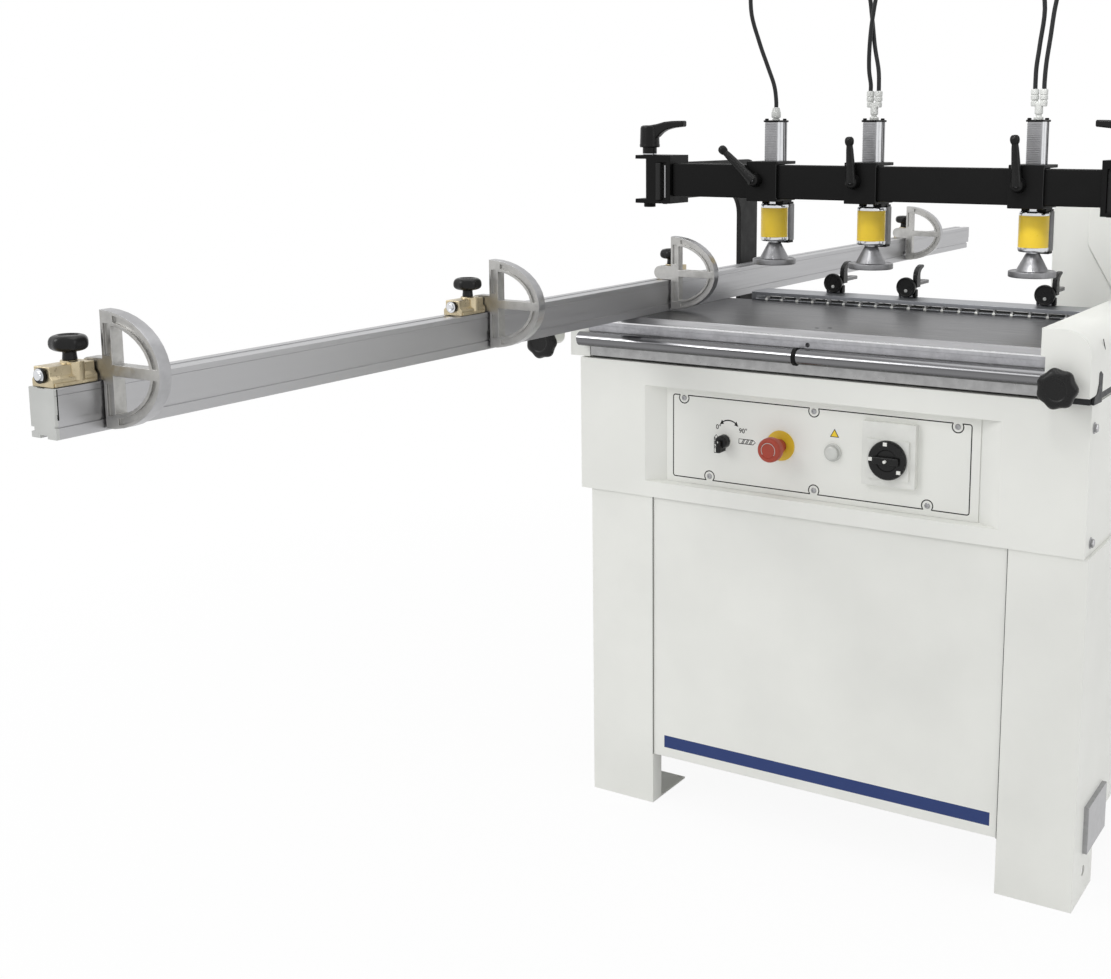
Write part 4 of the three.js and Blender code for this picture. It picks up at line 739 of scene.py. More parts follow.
# Lobed knobs
LOBES = 7.0
KNOB_STEM = 6.0
FORWARD, UPWARD = (0, -1, 0), (0, 0, 1)
CASTING_LOBE_SHARE, STOP_LOBE_SHARE = 0.045, 0.03
KNOBS = {
    "right_lobe_knob": (FORWARD, CASTING_LOBE_SHARE),
    "left_lobe_knob": (FORWARD, CASTING_LOBE_SHARE),
    "rear_lobe_knob": (UPWARD, CASTING_LOBE_SHARE),
    **{f"stop_knob_{i}": (UPWARD, STOP_LOBE_SHARE) for i in (1, 2, 3, 4)},
}
for node, (axis, lobe_share) in KNOBS.items():
    low, high = drawn(node)
    centre = (low + high) / 2
    if axis == UPWARD:
        start = Vector((centre.x, centre.y, low.z + KNOB_STEM))
        height = high.z - start.z
    else:
        start = Vector((centre.x, high.y - KNOB_STEM, centre.z))
        height = start.y - low.y
    grown(
        node + "_finished", KNOB, bpy.data.meshes.new("empty"),
        {
            "Radius": (high.x - low.x) / 2, "Height": height, "Lobes": LOBES,
            "Lobe share": lobe_share, "Finish": knob_plastic.material,
        },
        body_of_node[node],
        place=DRAWING @ Matrix.Translation(start) @ turn_to(axis), replaces=[node],
    )

# Fence bar: the outlines of its section, from the lower left corner
bar_low, bar_high = drawn("fence_bar")
LEDGE = 14.9
BAR_OUTLINE = [
    (0, 0), (14, 0), (14, 3.5), (26, 3.5), (26, 0), (40.6, 0), (40.6, 12.5), (38.6, 12.5),
    (38.6, LEDGE), (39.8, LEDGE), (39.8, 27.4), (40.6, 27.4), (40.6, 47.2), (40.1, 47.7), (40.6, 48.2),
    (40.6, 54.8), (40.1, 55.3), (26, 55.3), (26, 54.5), (14, 54.5), (14, 55.3), (0.5, 55.3),
    (0, 54.8), (0, 11.7), (5, 11.7), (5, 6.7), (0, 6.7),
]
BAR_HOLLOW = [(3.5, 17.2), (37.1, 17.2), (37.1, 51.8), (3.5, 51.8)]
BAR_END = [(u, v) for u, v in BAR_OUTLINE if v >= LEDGE] + [(0, LEDGE)]
BAR_CAP = 4
BAR_NOTCH = 14
JOINT_FRONT, JOINT_BACK = BAR_CAP - 0.6, BAR_CAP + 0.8
JOINT_DEEP, JOINT_PROUD, JOINT_LOW, JOINT_TOP = 0.8, 0.1, 21, 0.6
bar_turn = Matrix(((1, 0, 0, 0), (0, 0, -1, 0), (0, 1, 0, 0), (0, 0, 0, 1)))
for name, outlines, start, end in (
    ("fence_bar_length", [BAR_OUTLINE, BAR_HOLLOW], bar_low.y + BAR_CAP, bar_high.y - BAR_NOTCH),
    ("fence_bar_end", [BAR_END, BAR_HOLLOW], bar_high.y - BAR_NOTCH, bar_high.y),
):
    grown(
        name, DRAWN, outline_curve(name, outlines),
        {"Length": end - start, "Finish": bar_alloy.material},
        "fence",
        place=DRAWING @ Matrix.Translation((bar_low.x, end, bar_low.z)) @ bar_turn,
        replaces=["fence_bar"] if name == "fence_bar_length" else (),
    )
cap = Piece("fence_bar_cap")
cap.prism(
    "y", [(bar_low.x + u, bar_low.z + v) for u, v in BAR_OUTLINE],
    bar_low.y, bar_low.y + BAR_CAP, grey_plastic,
)
cap.slab(
    (bar_high.x - JOINT_DEEP, bar_low.y + JOINT_FRONT, bar_low.z + JOINT_LOW),
    (bar_high.x + JOINT_PROUD, bar_low.y + JOINT_BACK, bar_high.z - JOINT_TOP), line_ink,
)
cap.made("fence", record_slots["fence_bar"])


# Press units
def arc_points(centre, radius, start, end, steps):
    """Points round a centre, between two angles in degrees."""
    angles = [math.radians(start + (end - start) * i / steps) for i in range(steps + 1)]
    return [(centre[0] + radius * math.cos(a), centre[1] + radius * math.sin(a)) for a in angles]


SLEEVE_HALF = 29.5
SLEEVE_FRONT, SLEEVE_BACK = 194, 275
SLEEVE_LOW, SLEEVE_HIGH = 1097, 1168
FRONT_WALL, TOP_WALL, LOW_WALL = 5.7, 5.6, 4.6
WALL_LAP, WALL_INSET = 0.3, 0.1
STRAP_FRONT, STRAP_BACK, STRAP_LAP = 225.4, 230.2, 0.4
# A painted highlight: a thin lighter strip down the sleeve's right front edge, in place of its glint
SIDE_GLINT_LOW, SIDE_GLINT_HIGH = 1101, 1164
SIDE_GLINT_FRONT, SIDE_GLINT_BACK = SLEEVE_FRONT - 0.3, SLEEVE_FRONT + 1
SIDE_GLINT_DEEP, SIDE_GLINT_PROUD = 0.9, 0.2
POST = [(0, 1090), (15, 1090), (15, SLEEVE_HIGH), (0, SLEEVE_HIGH)]
# The two pads below the sleeve: left, front, right and back from the unit's middle
PADS = [(9, -16, 24, 20), (-17, -19, -9, -10)]
PAD_LOW, PAD_HIGH = 1091.2, 1097.2
BAND_OUTER, BAND_INNER = 25.3, 24.6
BAND_LOW, BAND_HIGH = 1028.6, 1084.6
BAND_START, BAND_END = -158, 2
# The flat bar behind the barrel, and a plate below and above it
BACK_BAR_LEFT, BACK_BAR_RIGHT, BACK_BAR_FRONT, BACK_BAR_BACK = 6, 26, 262, 281
BACK_BAR_LOW, BACK_BAR_HIGH = 1023.4, 1090.8
BACK_PLATE_STEPS = (1, 4, 2)
BACK_PLATES = [(1019.6, 1023.6), (1090.6, 1094)]
BOX_LEFT, BOX_HALF, BOX_HIGH, BOX_LAP = 12, 20.3, 1237, 0.4
# The strips on the box's right side: front and back from the unit's middle
STRIP_LEFT, STRIP_RIGHT, STRIP_PROUD = 10, 13.6, 0.6
STRIPS = [(-19.8, -10.4, chrome), (-9.2, 2.4, chrome), (2.4, 5.6, black_paint), (12.4, 14, black_paint)]
LID_LEFT, LID_RIGHT, LID_HALF, LID_HIGH = 14.5, 15, 22, 1240.5
LID_SCREWS = [(-10, -17), (10, 15)]
LID_SCREW = [(0, 1240), (3.4, 1240), (3.4, 1242.6), (2.8, 1243.4), (0, 1243.6)]
RIB_PITCH, RIB_COUNT, RIB_START = 3, 22, 2.4
RIB_LEFT, RIB_RIGHT, RIB_HALF_DEEP, RIB_HALF_HIGH = 12.4, 10.4, 0.6, 0.8
BARREL = [
    (0, 1023), (21.5, 1023), (24, 1023.6), (25.2, 1025.2), (25.5, 1027), (25.5, 1030.6),
    (24.9, 1031.4), (24.9, 1083.2), (25.5, 1084), (25.5, 1087.4), (25, 1089.4), (23.6, 1090.6),
    (21, 1091), (0, 1091),
]
SINGLE_FITTING = [
    (0, 1240), (7, 1240), (7, 1243), (5, 1243.4), (5, 1244.4), (7.6, 1244.8), (8.5, 1246.4),
    (8.5, 1254), (7.4, 1257), (7.2, 1259), (6.4, 1260), (6.2, 1262.4), (5, 1263), (0, 1263),
]
FORK_STEM = [
    (0, 1240), (7.5, 1240), (8, 1241), (8, 1244.5), (7, 1245.4), (5, 1245.8), (5, 1249.5),
    (6.4, 1250), (6.8, 1251), (6.6, 1266), (0, 1266),
]
FORK_PORT = [
    (0, 1262), (5, 1262), (6, 1264), (6.2, 1270), (5.2, 1271), (5.2, 1272.4), (6.5, 1273.2),
    (6.7, 1275), (6.7, 1279), (5.8, 1280), (5.8, 1281), (6.6, 1281.6), (6.7, 1288), (6, 1290),
    (4, 1290), (0, 1289.6),
]
FORK_SPREAD = 7.5
BRIDGE_HALF_WIDE, BRIDGE_HALF_DEEP, BRIDGE_LOW, BRIDGE_HIGH = 11, 5.4, 1262, 1270
FOOT_DISC = [
    (0, 981), (37.8, 981), (39.1, 981.5), (39.6, 982.6), (39.6, 989.9), (39, 990.9), (37.8, 991.4),
    (36.6, 991.2), (36, 990.4), (0, 990.4),
]
FOOT_CONE = [
    (0, 988), (36.4, 990.1), (28.5, 990.8), (26.9, 991.6), (26, 993.2), (12.2, 1019), (11, 1020.7),
    (0, 1021),
]
FOOT_ROD = [(0, 1020), (8, 1020), (8, 1022.6), (7, 1022.8), (7, 1140), (0, 1140)]


def sleeve(unit, x):
    """The sleeve on the beam: a front wall, two flanges and a strap between them."""
    left, right = x - SLEEVE_HALF, x + SLEEVE_HALF
    wall_back, top, low = SLEEVE_FRONT + FRONT_WALL, SLEEVE_HIGH - TOP_WALL, SLEEVE_LOW + LOW_WALL
    front = wall_back - WALL_LAP
    unit.slab((left, SLEEVE_FRONT, SLEEVE_LOW), (right, wall_back, SLEEVE_HIGH), black_paint, 1.2)
    unit.slab((left, front, top), (right, SLEEVE_BACK, SLEEVE_HIGH - WALL_INSET), black_paint, 1)
    unit.slab((left, front, SLEEVE_LOW + WALL_INSET), (right, SLEEVE_BACK, low), black_paint, 1)
    unit.slab((left, STRAP_FRONT, low - STRAP_LAP), (right, STRAP_BACK, top + STRAP_LAP), black_paint)


def barrel(unit, x, y):
    """The air cylinder: its post in the sleeve, two pads, and the tube with its yellow band."""
    unit.turned("z", (x, y, 0), POST, chrome)
    for left, front, right, back in PADS:
        unit.slab((x + left, y + front, PAD_LOW), (x + right, y + back, PAD_HIGH), black_paint, 0.6)
    unit.turned("z", (x, y, 0), BARREL, chrome, sides=64)
    outer = arc_points((x, y), BAND_OUTER, BAND_START, BAND_END, 40)
    inner = arc_points((x, y), BAND_INNER, BAND_END, BAND_START, 40)
    unit.prism("z", outer + inner, BAND_LOW, BAND_HIGH, band_yellow)


def back_bar(unit, x):
    """The flat bar behind the barrel, between its two plates."""
    left, right = x + BACK_BAR_LEFT, x + BACK_BAR_RIGHT
    unit.slab(
        (left, BACK_BAR_FRONT, BACK_BAR_LOW), (right, BACK_BAR_BACK, BACK_BAR_HIGH), bar_steel, 2
    )
    aside, ahead, inset = BACK_PLATE_STEPS
    for low, high in BACK_PLATES:
        unit.slab(
            (left - aside, BACK_BAR_FRONT - ahead, low), (right - aside, BACK_BAR_BACK - inset, high),
            black_paint, 1,
        )


def upper_box(unit, x, y):
    """The tall box above the sleeve, with strips on its right side and a screwed lid."""
    low, high = SLEEVE_HIGH - BOX_LAP, BOX_HIGH + BOX_LAP
    unit.slab(
        (x - BOX_LEFT, y - BOX_HALF, low), (x + STRIP_RIGHT - STRIP_PROUD, y + BOX_HALF, high),
        strip_alloy, 0.8,
    )
    for start, end, finish in STRIPS:
        unit.slab((x + STRIP_LEFT, y + start, low), (x + STRIP_RIGHT, y + end, high), finish, 0.3)
    unit.slab(
        (x - LID_LEFT, y - LID_HALF, BOX_HIGH), (x + LID_RIGHT, y + LID_HALF, LID_HIGH), black_paint, 1
    )
    for screw_x, screw_y in LID_SCREWS:
        unit.turned("z", (x + screw_x, y + screw_y, 0), LID_SCREW, black_paint, sides=20)


def fittings(unit, x, y, ports):
    """The hose fitting on the lid, with one port or two."""
    if ports == 1:
        unit.turned("z", (x, y, 0), SINGLE_FITTING, grey_plastic, sides=32)
        return
    unit.turned("z", (x, y, 0), FORK_STEM, grey_plastic, sides=32)
    for side in (-FORK_SPREAD, FORK_SPREAD):
        unit.turned("z", (x + side, y, 0), FORK_PORT, grey_plastic, sides=32)
    unit.slab(
        (x - BRIDGE_HALF_WIDE, y - BRIDGE_HALF_DEEP, BRIDGE_LOW),
        (x + BRIDGE_HALF_WIDE, y + BRIDGE_HALF_DEEP, BRIDGE_HIGH), grey_plastic, 2.4,
    )


for i in (1, 2, 3):
    node = f"press_unit_{i}"
    foot_low, foot_high = drawn(f"press_foot_{i}")
    x, y = ((foot_low + foot_high) / 2).xy
    right = x + SLEEVE_HALF
    unit = Piece(node + "_finished")
    sleeve(unit, x)
    barrel(unit, x, y)
    back_bar(unit, x)
    # The painted highlight on the sleeve's right front edge
    unit.slab(
        (right - SIDE_GLINT_DEEP, SIDE_GLINT_FRONT, SIDE_GLINT_LOW),
        (right + SIDE_GLINT_PROUD, SIDE_GLINT_BACK, SIDE_GLINT_HIGH), arm_paint,
    )
    upper_box(unit, x, y)
    fittings(unit, x, y, 1 if i == 1 else 2)
    unit.made(f"unit_{i}", record_slots[node], [node])
    rib = Piece("rib", Matrix.Identity(4))
    rib.slab(
        (-RIB_LEFT, -RIB_HALF_DEEP, -RIB_HALF_HIGH), (RIB_RIGHT, RIB_HALF_DEEP, RIB_HALF_HIGH),
        strip_alloy, 0.35, 1,
    )
    ribs = [(x, y - BOX_HALF, SLEEVE_HIGH + RIB_START + RIB_PITCH * k) for k in range(RIB_COUNT)]
    repeated(f"unit_ribs_{i}", rib, ribs, strip_alloy, f"unit_{i}")
    foot = Piece(f"press_foot_{i}_finished")
    foot.turned("z", (x, y, 0), FOOT_DISC, foot_alloy, sides=72)
    foot.turned("z", (x, y, 0), FOOT_CONE, foot_alloy, sides=72)
    foot.turned("z", (x, y, 0), FOOT_ROD, chrome, sides=32)
    foot.made(f"foot_{i}", record_slots[f"press_foot_{i}"], [f"press_foot_{i}"])

# Clamp levers
LEVER_HUB = [
    (0, 176.8), (3.8, 176.8), (4.4, 176.2), (5.4, 176.2), (6, 177.6), (8.6, 178), (10.4, 179.6),
    (11.6, 184), (12.4, 190), (13, 193.7), (0, 193.7),
]
LEVER_SCREW = [(0, 175.4), (2.4, 175.6), (3.4, 176.4), (3.4, 179), (0, 179)]
LEVER_ASIDE, LEVER_Y, LEVER_Z = 11, 182.8, 1135
# Where each lever points, from its pivot: right and up
LEVER_TIPS = [(-61, 53), (-5, 70), (-6, 74)]


def lever_bar(reach):
    """A bar that tapers and ends in a round tip."""
    return [
        (0, -2), (9.6, -2), (9.4, 8), (7.8, 26), (6.2, reach - 14), (5.5, reach - 8.4),
        (5.8, reach - 7.4), (7.2, reach - 5.2), (7.9, reach - 1.6), (7.9, reach + 1.4),
        (7, reach + 4.4), (4.6, reach + 6.8), (0, reach + 7.6),
    ]


for i, (right, up) in enumerate(LEVER_TIPS, start=1):
    node = f"clamp_lever_{i}"
    foot_low, foot_high = drawn(f"press_foot_{i}")
    pivot = Vector(((foot_low.x + foot_high.x) / 2 - LEVER_ASIDE, LEVER_Y, LEVER_Z))
    way = Vector((right, 0, up))
    lever = Piece(node + "_finished")
    lever.turned("y", (pivot.x, 0, pivot.z), LEVER_HUB, black_plastic)
    lever.turned(way, pivot, lever_bar(way.length), black_plastic, sides=32)
    lever.turned("y", (pivot.x, 0, pivot.z), LEVER_SCREW, bar_steel)
    lever.made(f"lever_{i}", record_slots[node], [node])

# Ratchet handles
HANDLE_AXIS, HANDLE_HALF = 19, 8
HANDLE_WASHER = [(0, 1177.3), (12.4, 1177.3), (13, 1178), (13, 1179.4), (12.4, 1180), (0, 1180)]
HANDLE_COLLAR = [(0, 1179.6), (13, 1179.6), (13.4, 1180.2), (13.4, 1190.6), (0, 1190.6)]
HANDLE_ARM = [
    (0, 1207), (16, 1207.6), (21, 1211), (28, 1217.4), (38, 1223), (52, 1226.6), (68, 1228.4),
    (74, 1229), (75.6, 1231), (75.6, 1238), (74, 1240), (66, 1240), (50, 1239.6), (34, 1238),
    (18, 1234), (0, 1231.4),
]
HANDLE_HUB = [
    (0, 1190), (13, 1190), (13, 1190.6), (18, 1191), (19, 1192.4), (19, 1196), (18.4, 1197),
    (17.6, 1226), (16.4, 1229.6), (13, 1231.4), (6, 1231.8), (5, 1230.6), (0, 1230.6),
]
for side, sign in (("left", 1), ("right", -1)):
    node = f"ratchet_handle_{side}"
    low, high = drawn(node)
    axis_x = low.x + HANDLE_AXIS if sign == 1 else high.x - HANDLE_AXIS
    axis_y = (low.y + high.y) / 2
    handle = Piece(node + "_finished")
    handle.turned("z", (axis_x, axis_y, 0), HANDLE_WASHER, chrome, sides=40)
    handle.turned("z", (axis_x, axis_y, 0), HANDLE_COLLAR, black_plastic, sides=40)
    handle.turned("z", (axis_x, axis_y, 0), HANDLE_HUB, black_plastic)
    arm = [(axis_x + sign * u, v) for u, v in HANDLE_ARM]
    handle.prism("y", arm, axis_y - HANDLE_HALF, axis_y + HANDLE_HALF, black_plastic, 3, 3)
    handle.made(f"handle_{side}", record_slots[node], [node])

# Rear stops
CAM_OUTLINE = [
    (404.5, 934), (424, 934), (424.4, 948), (422.6, 955), (423.6, 961), (428.4, 965.6),
    (435, 968.4), (439.4, 969.6), (441, 971.6), (440, 974.2), (435, 975.2), (427, 974.4),
    (418, 971.4), (411, 967), (406.6, 961.6), (404.8, 955),
]
CAM_LEFT, CAM_RIGHT = 10.2, 19
CARRIER_LOW, CARRIER_HIGH, CARRIER_FRONT, CARRIER_BACK = 915.8, 934.6, 404.6, 416.4
CARRIER_LEFT, CARRIER_RIGHT = 16.6, 15
CHEEK_NEAR, CHEEK_FAR = 10.6, 17
GRIP_FRONT, GRIP_BACK, GRIP_HIGH = 404, 417, 930
CAM_PIN_AT = (13.4, 938)
CAM_PIN = [(0, 401.6), (2.4, 401.6), (3.2, 402.6), (3.2, 410), (0, 410)]
STOP_BAR_LOW, STOP_BAR_HIGH, STOP_BAR_HALF = 935, 941, 9.8
STOP_BAR_FRONT, STOP_BAR_BACK, STOP_BAR_LAP = 401, 491, 1
SLOT_FRONT, SLOT_BACK, SLOT_HALF = 424, 488, 3
SLOT_SUNK, SLOT_PROUD = 1, 0.15
DISC_Z = 934.8
DISC = [
    (0, 395.4), (14.6, 395.2), (15.4, 394.2), (16.8, 394), (17.9, 394.8), (18.5, 396.4),
    (18.5, 400.4), (17.6, 402), (15, 402.5), (0, 402.5),
]
DISC_DOT_AT = (1, DISC_Z - 6.4)
DISC_DOT = [(0, 393.6), (2.3, 393.6), (3.1, 394.2), (3.1, 396), (0, 396)]
for i in (1, 2, 3):
    node, bar = f"rear_stop_{i}", f"stop_bar_{i}"
    low, high = drawn(bar)
    x = (low.x + high.x) / 2
    carrier = Piece(node + "_finished")
    carrier.slab(
        (x - CHEEK_FAR, CARRIER_FRONT, CARRIER_LOW), (x - CHEEK_NEAR, CARRIER_BACK, CARRIER_HIGH), zinc, 1
    )
    carrier.slab(
        (x + CHEEK_NEAR, GRIP_FRONT, CARRIER_LOW), (x + CHEEK_FAR, GRIP_BACK, GRIP_HIGH), black_paint, 1
    )
    carrier.slab(
        (x - CARRIER_LEFT, CARRIER_FRONT, CARRIER_LOW), (x + CARRIER_RIGHT, CARRIER_BACK, CARRIER_HIGH),
        zinc, 1,
    )
    carrier.turned("y", (x + CAM_PIN_AT[0], 0, CAM_PIN_AT[1]), CAM_PIN, zinc, sides=24)
    carrier.prism("x", CAM_OUTLINE, x + CAM_LEFT, x + CAM_RIGHT, knob_plastic, 1.2)
    carrier.made(node, record_slots[node], [node])
    slotted = Piece(bar + "_finished")
    slotted.slab(
        (x - STOP_BAR_HALF, STOP_BAR_FRONT, STOP_BAR_LOW),
        (x + STOP_BAR_HALF, STOP_BAR_BACK + STOP_BAR_LAP, STOP_BAR_HIGH), bar_steel, 0.8,
    )
    round_end = arc_points((x, STOP_BAR_BACK), STOP_BAR_HALF, 0, 180, 16)
    slotted.prism("z", round_end, STOP_BAR_LOW, STOP_BAR_HIGH, bar_steel, 0.8)
    slotted.slab(
        (x - SLOT_HALF, SLOT_FRONT, STOP_BAR_HIGH - SLOT_SUNK),
        (x + SLOT_HALF, SLOT_BACK, STOP_BAR_HIGH + SLOT_PROUD), dark_insert_and_shade, 0.1,
    )
    slotted.turned("y", (x, 0, DISC_Z), DISC, knob_plastic, sides=56)
    slotted.turned("y", (x + DISC_DOT_AT[0], 0, DISC_DOT_AT[1]), DISC_DOT, grey_plastic, sides=20)
    slotted.made(bar, record_slots[bar], [bar])

# Control plate
PLATE_FACE = 20.0
STOP_AT, STOP_RING = (390.5, 697.2), 26
LAMP_AT, LAMP_RING = (487, 696.3), 15
TURN_AT, TURN_RING = (284, 694), 12
ISOLATOR_AT = (590, 698)
FRAME_LEFT, FRAME_RIGHT, FRAME_LOW, FRAME_HIGH, FRAME_ROUND = 181.5, 723, 620.5, 767, 4
TOP_SCREWS = [(203, 762), (451, 762), (700, 761.5)]
LOW_SCREWS = [(653, 627), (453, 627), (254, 627.5)]
NOTCH = 9.5
MARK_FLAT = 0.35
LONG_RUN, EASE = 4, 0.8
MARK_PLACE = DRAWING @ Matrix(
    ((1, 0, 0, 0), (0, 0, -MARK_FLAT, PLATE_FACE), (0, 1, 0, 0), (0, 0, 0, 1))
)


def plate_finish(centre):
    """The finish of each part of the control plate's solid, by its place."""
    if centre.y > PLATE_FACE - 0.05:
        return white_paint
    for (x, z), radius, finish in (
        (STOP_AT, STOP_RING, yellow_plastic),
        (LAMP_AT, LAMP_RING, lamp_plastic),
        (TURN_AT, TURN_RING, lamp_plastic),
    ):
        if math.hypot(centre.x - x, centre.z - z) < radius + 1:
            return finish
    return plate_plastic


def frame_line():
    """The printed line round the plate, which bends round each screw."""
    line = []
    for x, z in TOP_SCREWS:
        lift = math.degrees(math.asin((FRAME_HIGH - z) / NOTCH))
        line += arc_points((x, z), NOTCH, 180 - lift, 360 + lift, 14)
    right, top = FRAME_RIGHT - FRAME_ROUND, FRAME_HIGH - FRAME_ROUND
    left, low = FRAME_LEFT + FRAME_ROUND, FRAME_LOW + FRAME_ROUND
    line += arc_points((right, top), FRAME_ROUND, 90, 0, 5)
    line += arc_points((right, low), FRAME_ROUND, 0, -90, 5)
    for x, z in LOW_SCREWS:
        drop = math.degrees(math.asin((z - FRAME_LOW) / NOTCH))
        line += arc_points((x, z), NOTCH, -drop, 180 + drop, 14)
    line += arc_points((left, low), FRAME_ROUND, 270, 180, 5)
    line += arc_points((left, top), FRAME_ROUND, 180, 90, 5)
    return line


def eased(line):
    """The closed line with points near the ends of its long runs, which keep it evenly wide."""
    made = []
    for start, end in zip(line, line[1:] + line[:1]):
        made.append(start)
        run = math.dist(start, end)
        if run > LONG_RUN:
            for share in (EASE / run, 1 - EASE / run):
                made.append(tuple(a + (b - a) * share for a, b in zip(start, end)))
    return made


def marks(name, paths, width, closed, body="base", place=MARK_PLACE, finish=line_ink):
    return grown(
        name, LINE, outline_curve(name, [[(*spot, 0) for spot in path] for path in paths], closed),
        {"Width": width, "Finish": finish.material}, body, place=place,
    )


rounded("control_plate", plate_finish, 0.5 * MM)
FRAME_WIDE, ARROW_WIDE, BIT_WIDE = 1.9, 2.2, 1.3
MARK_SUNK, MARK_BACK = 0.25, 0.5
marks("plate_frame_line", [eased(frame_line())], FRAME_WIDE, True)
ARROW_MIDDLE, ARROW_REACH, ARROW_FLARE = (291.5, 708.5), 22, 4
marks("turn_arrow", [arc_points(ARROW_MIDDLE, ARROW_REACH, 44, 132, 16)], ARROW_WIDE, False)
heads = Piece("turn_arrow_heads")
# Each arrow head: the angle of its tip, and the angles by which its two corners lag
for angle, outer_lag, inner_lag in ((35, 21, 19), (142, -21, -19)):
    corners = [
        arc_points(ARROW_MIDDLE, radius, turn, turn, 1)[0] for radius, turn in (
            (ARROW_REACH, angle),
            (ARROW_REACH + ARROW_FLARE, angle + outer_lag),
            (ARROW_REACH - ARROW_FLARE, angle + inner_lag),
        )
    ]
    heads.prism("y", corners, PLATE_FACE - MARK_SUNK, PLATE_FACE + MARK_BACK, line_ink)
heads.made("base", record_slots["control_plate"])
BIT_LONG, BIT_HALF, BIT_POINT = 32, 4, 5
FLUTE_PITCH, FLUTE_COUNT, FLUTE_SLANT = 7.5, 3, 4.5
flutes = [
    [(k * FLUTE_PITCH + start, -BIT_HALF), (k * FLUTE_PITCH + start + FLUTE_SLANT, BIT_HALF)]
    for start in (5, 7.5) for k in range(FLUTE_COUNT)
]
rim = [
    (0, -BIT_HALF), (BIT_LONG - BIT_POINT, -BIT_HALF), (BIT_LONG, 0), (BIT_LONG - BIT_POINT, BIT_HALF),
    (0, BIT_HALF), (0, -BIT_HALF),
]
for name, place, turn in (("bit_upright", (267, 671), 90), ("bit_level", (311, 696.5), 0)):
    settle = Matrix.Translation((*place, 0)) @ Matrix.Rotation(math.radians(turn), 4, "Z")
    marks(name, [rim, *flutes], BIT_WIDE, False, place=MARK_PLACE @ settle)

WORD_SIZE, WORD_BOLDER, WORD_DEEP, WORD_WELD = 11.5, 0.08, 0.6, 0.001


def words(name, text, place):
    """Printed figures as a closed mesh on the plate."""
    curve = bpy.data.curves.new(name, "FONT")
    curve.body = text
    curve.size = WORD_SIZE
    curve.offset = WORD_BOLDER
    curve.extrude = WORD_DEEP
    curve.align_x = "CENTER"
    source = in_scene(name + "_words", curve)
    bpy.context.view_layer.update()
    graph = bpy.context.evaluated_depsgraph_get()
    mesh = bpy.data.meshes.new_from_object(source.evaluated_get(graph))
    bpy.data.objects.remove(source)
    shape = bmesh.new()
    shape.from_mesh(mesh)
    bmesh.ops.remove_doubles(shape, verts=shape.verts, dist=WORD_WELD)
    bmesh.ops.transform(shape, matrix=MARK_PLACE @ Matrix.Translation((*place, 0)), verts=shape.verts)
    bmesh.ops.recalc_face_normals(shape, faces=shape.faces)
    shape.to_mesh(mesh)
    shape.free()
    mesh.materials.clear()
    mesh.materials.append(line_ink.material)
    return riding(in_scene(name, mesh), "base", ())


words("mark_low", "0\u00b0", (271.5, 713.5))
words("mark_high", "90\u00b0", (319, 711))
TRIANGLE_AT = (489, 727)
sign = Piece("warning_triangle")
for size, lift, finish in ((9.4, 0.25, line_ink), (7.0, 0.4, band_yellow)):
    corners = arc_points(TRIANGLE_AT, size, 90, 330, 2)
    sign.prism("y", corners, PLATE_FACE - lift, PLATE_FACE + MARK_BACK, finish)
sign.made("base", record_slots["control_plate"])

SCREW = [(0, -0.6), (1.9, -0.6), (2.2, -2), (3.6, -1.9), (4.6, -1), (4.9, 0.4), (0, 0.4)]
screw = Piece("screw", Matrix.Identity(4))
screw.turned("y", (0, 0, 0), SCREW, zinc, sides=24)
repeated(
    "plate_screws", screw, [(x, PLATE_FACE, z) for x, z in TOP_SCREWS + LOW_SCREWS], zinc,
    "base",
)

# Controls: the turned bodies, and the bars and marks on them
# A bar or mark is told by its left, right, front, back, bottom and top, from the control's middle
SELECTOR_BAR = (-4.2, 4.2, -7, 16.4, -17, 4)
SELECTOR_MARK = (-0.7, 0.7, -7.3, -6, 0.5, 3.4)
ISOLATOR_BAR = (-22, 22, -8.6, 0, -6.5, 6.5)
ISOLATOR_MARK = (-3.4, 3.4, -5.2, -2, -3, 3)
SELECTOR = [
    (0, 1.6), (8, 1.6), (10.2, 2.6), (11.2, 4.6), (11.6, 9), (11.8, 16.7), (5, 16.7), (5, 25), (0, 25),
]
ESTOP = [
    (0, -27.6), (6, -27.9), (11.6, -28.6), (12, -28), (13.2, -28), (13.6, -28.9), (17, -28.7),
    (19.4, -27.4), (20.7, -25), (21, -22), (21, -14), (20.4, -11.6), (18.6, -10.2), (15, -10),
    (13, -8.6), (12.4, 4), (13.2, 9), (13.2, 11), (11, 11.4), (11, 25), (0, 25),
]
ESTOP_FACE, ESTOP_LINE_RADIUS, ESTOP_LINE_WIDE = -28.1, 12.6, 1.1
LAMP = [
    (0, 9), (7, 9.2), (9.6, 9.8), (11, 10.8), (11.5, 12.4), (9, 12.6), (9, 25), (0, 25),
]
ISOLATOR = [
    (0, -1.6), (17, -1.6), (18.4, -3), (27.6, -4.2), (30.6, -3.8), (32.2, -1.8), (32.6, 0.6),
    (32.6, 3.7), (5, 3.7), (5, 25), (0, 25),
]
ISOLATOR_PIN = [(0, -14), (2.2, -13.8), (2.6, -12.6), (2.6, -8), (0, -8)]
ISOLATOR_MARKS, ISOLATOR_MARK_RADIUS = (95, 178, 322), 27.4


def bar_across(piece, at, sides, finish, edge, segments=2):
    """A block on a control."""
    x, z = at
    left, right, front, back, low, high = sides
    piece.slab((x + left, front, z + low), (x + right, back, z + high), finish, edge, segments)


selector = Piece("selector_knob_finished")
selector.turned("y", (TURN_AT[0], 0, TURN_AT[1]), SELECTOR, knob_plastic)
bar_across(selector, TURN_AT, SELECTOR_BAR, knob_plastic, 1.8, 3)
bar_across(selector, TURN_AT, SELECTOR_MARK, white_paint, 0.2)
selector.made("selector", record_slots["selector_knob"], ["selector_knob"])

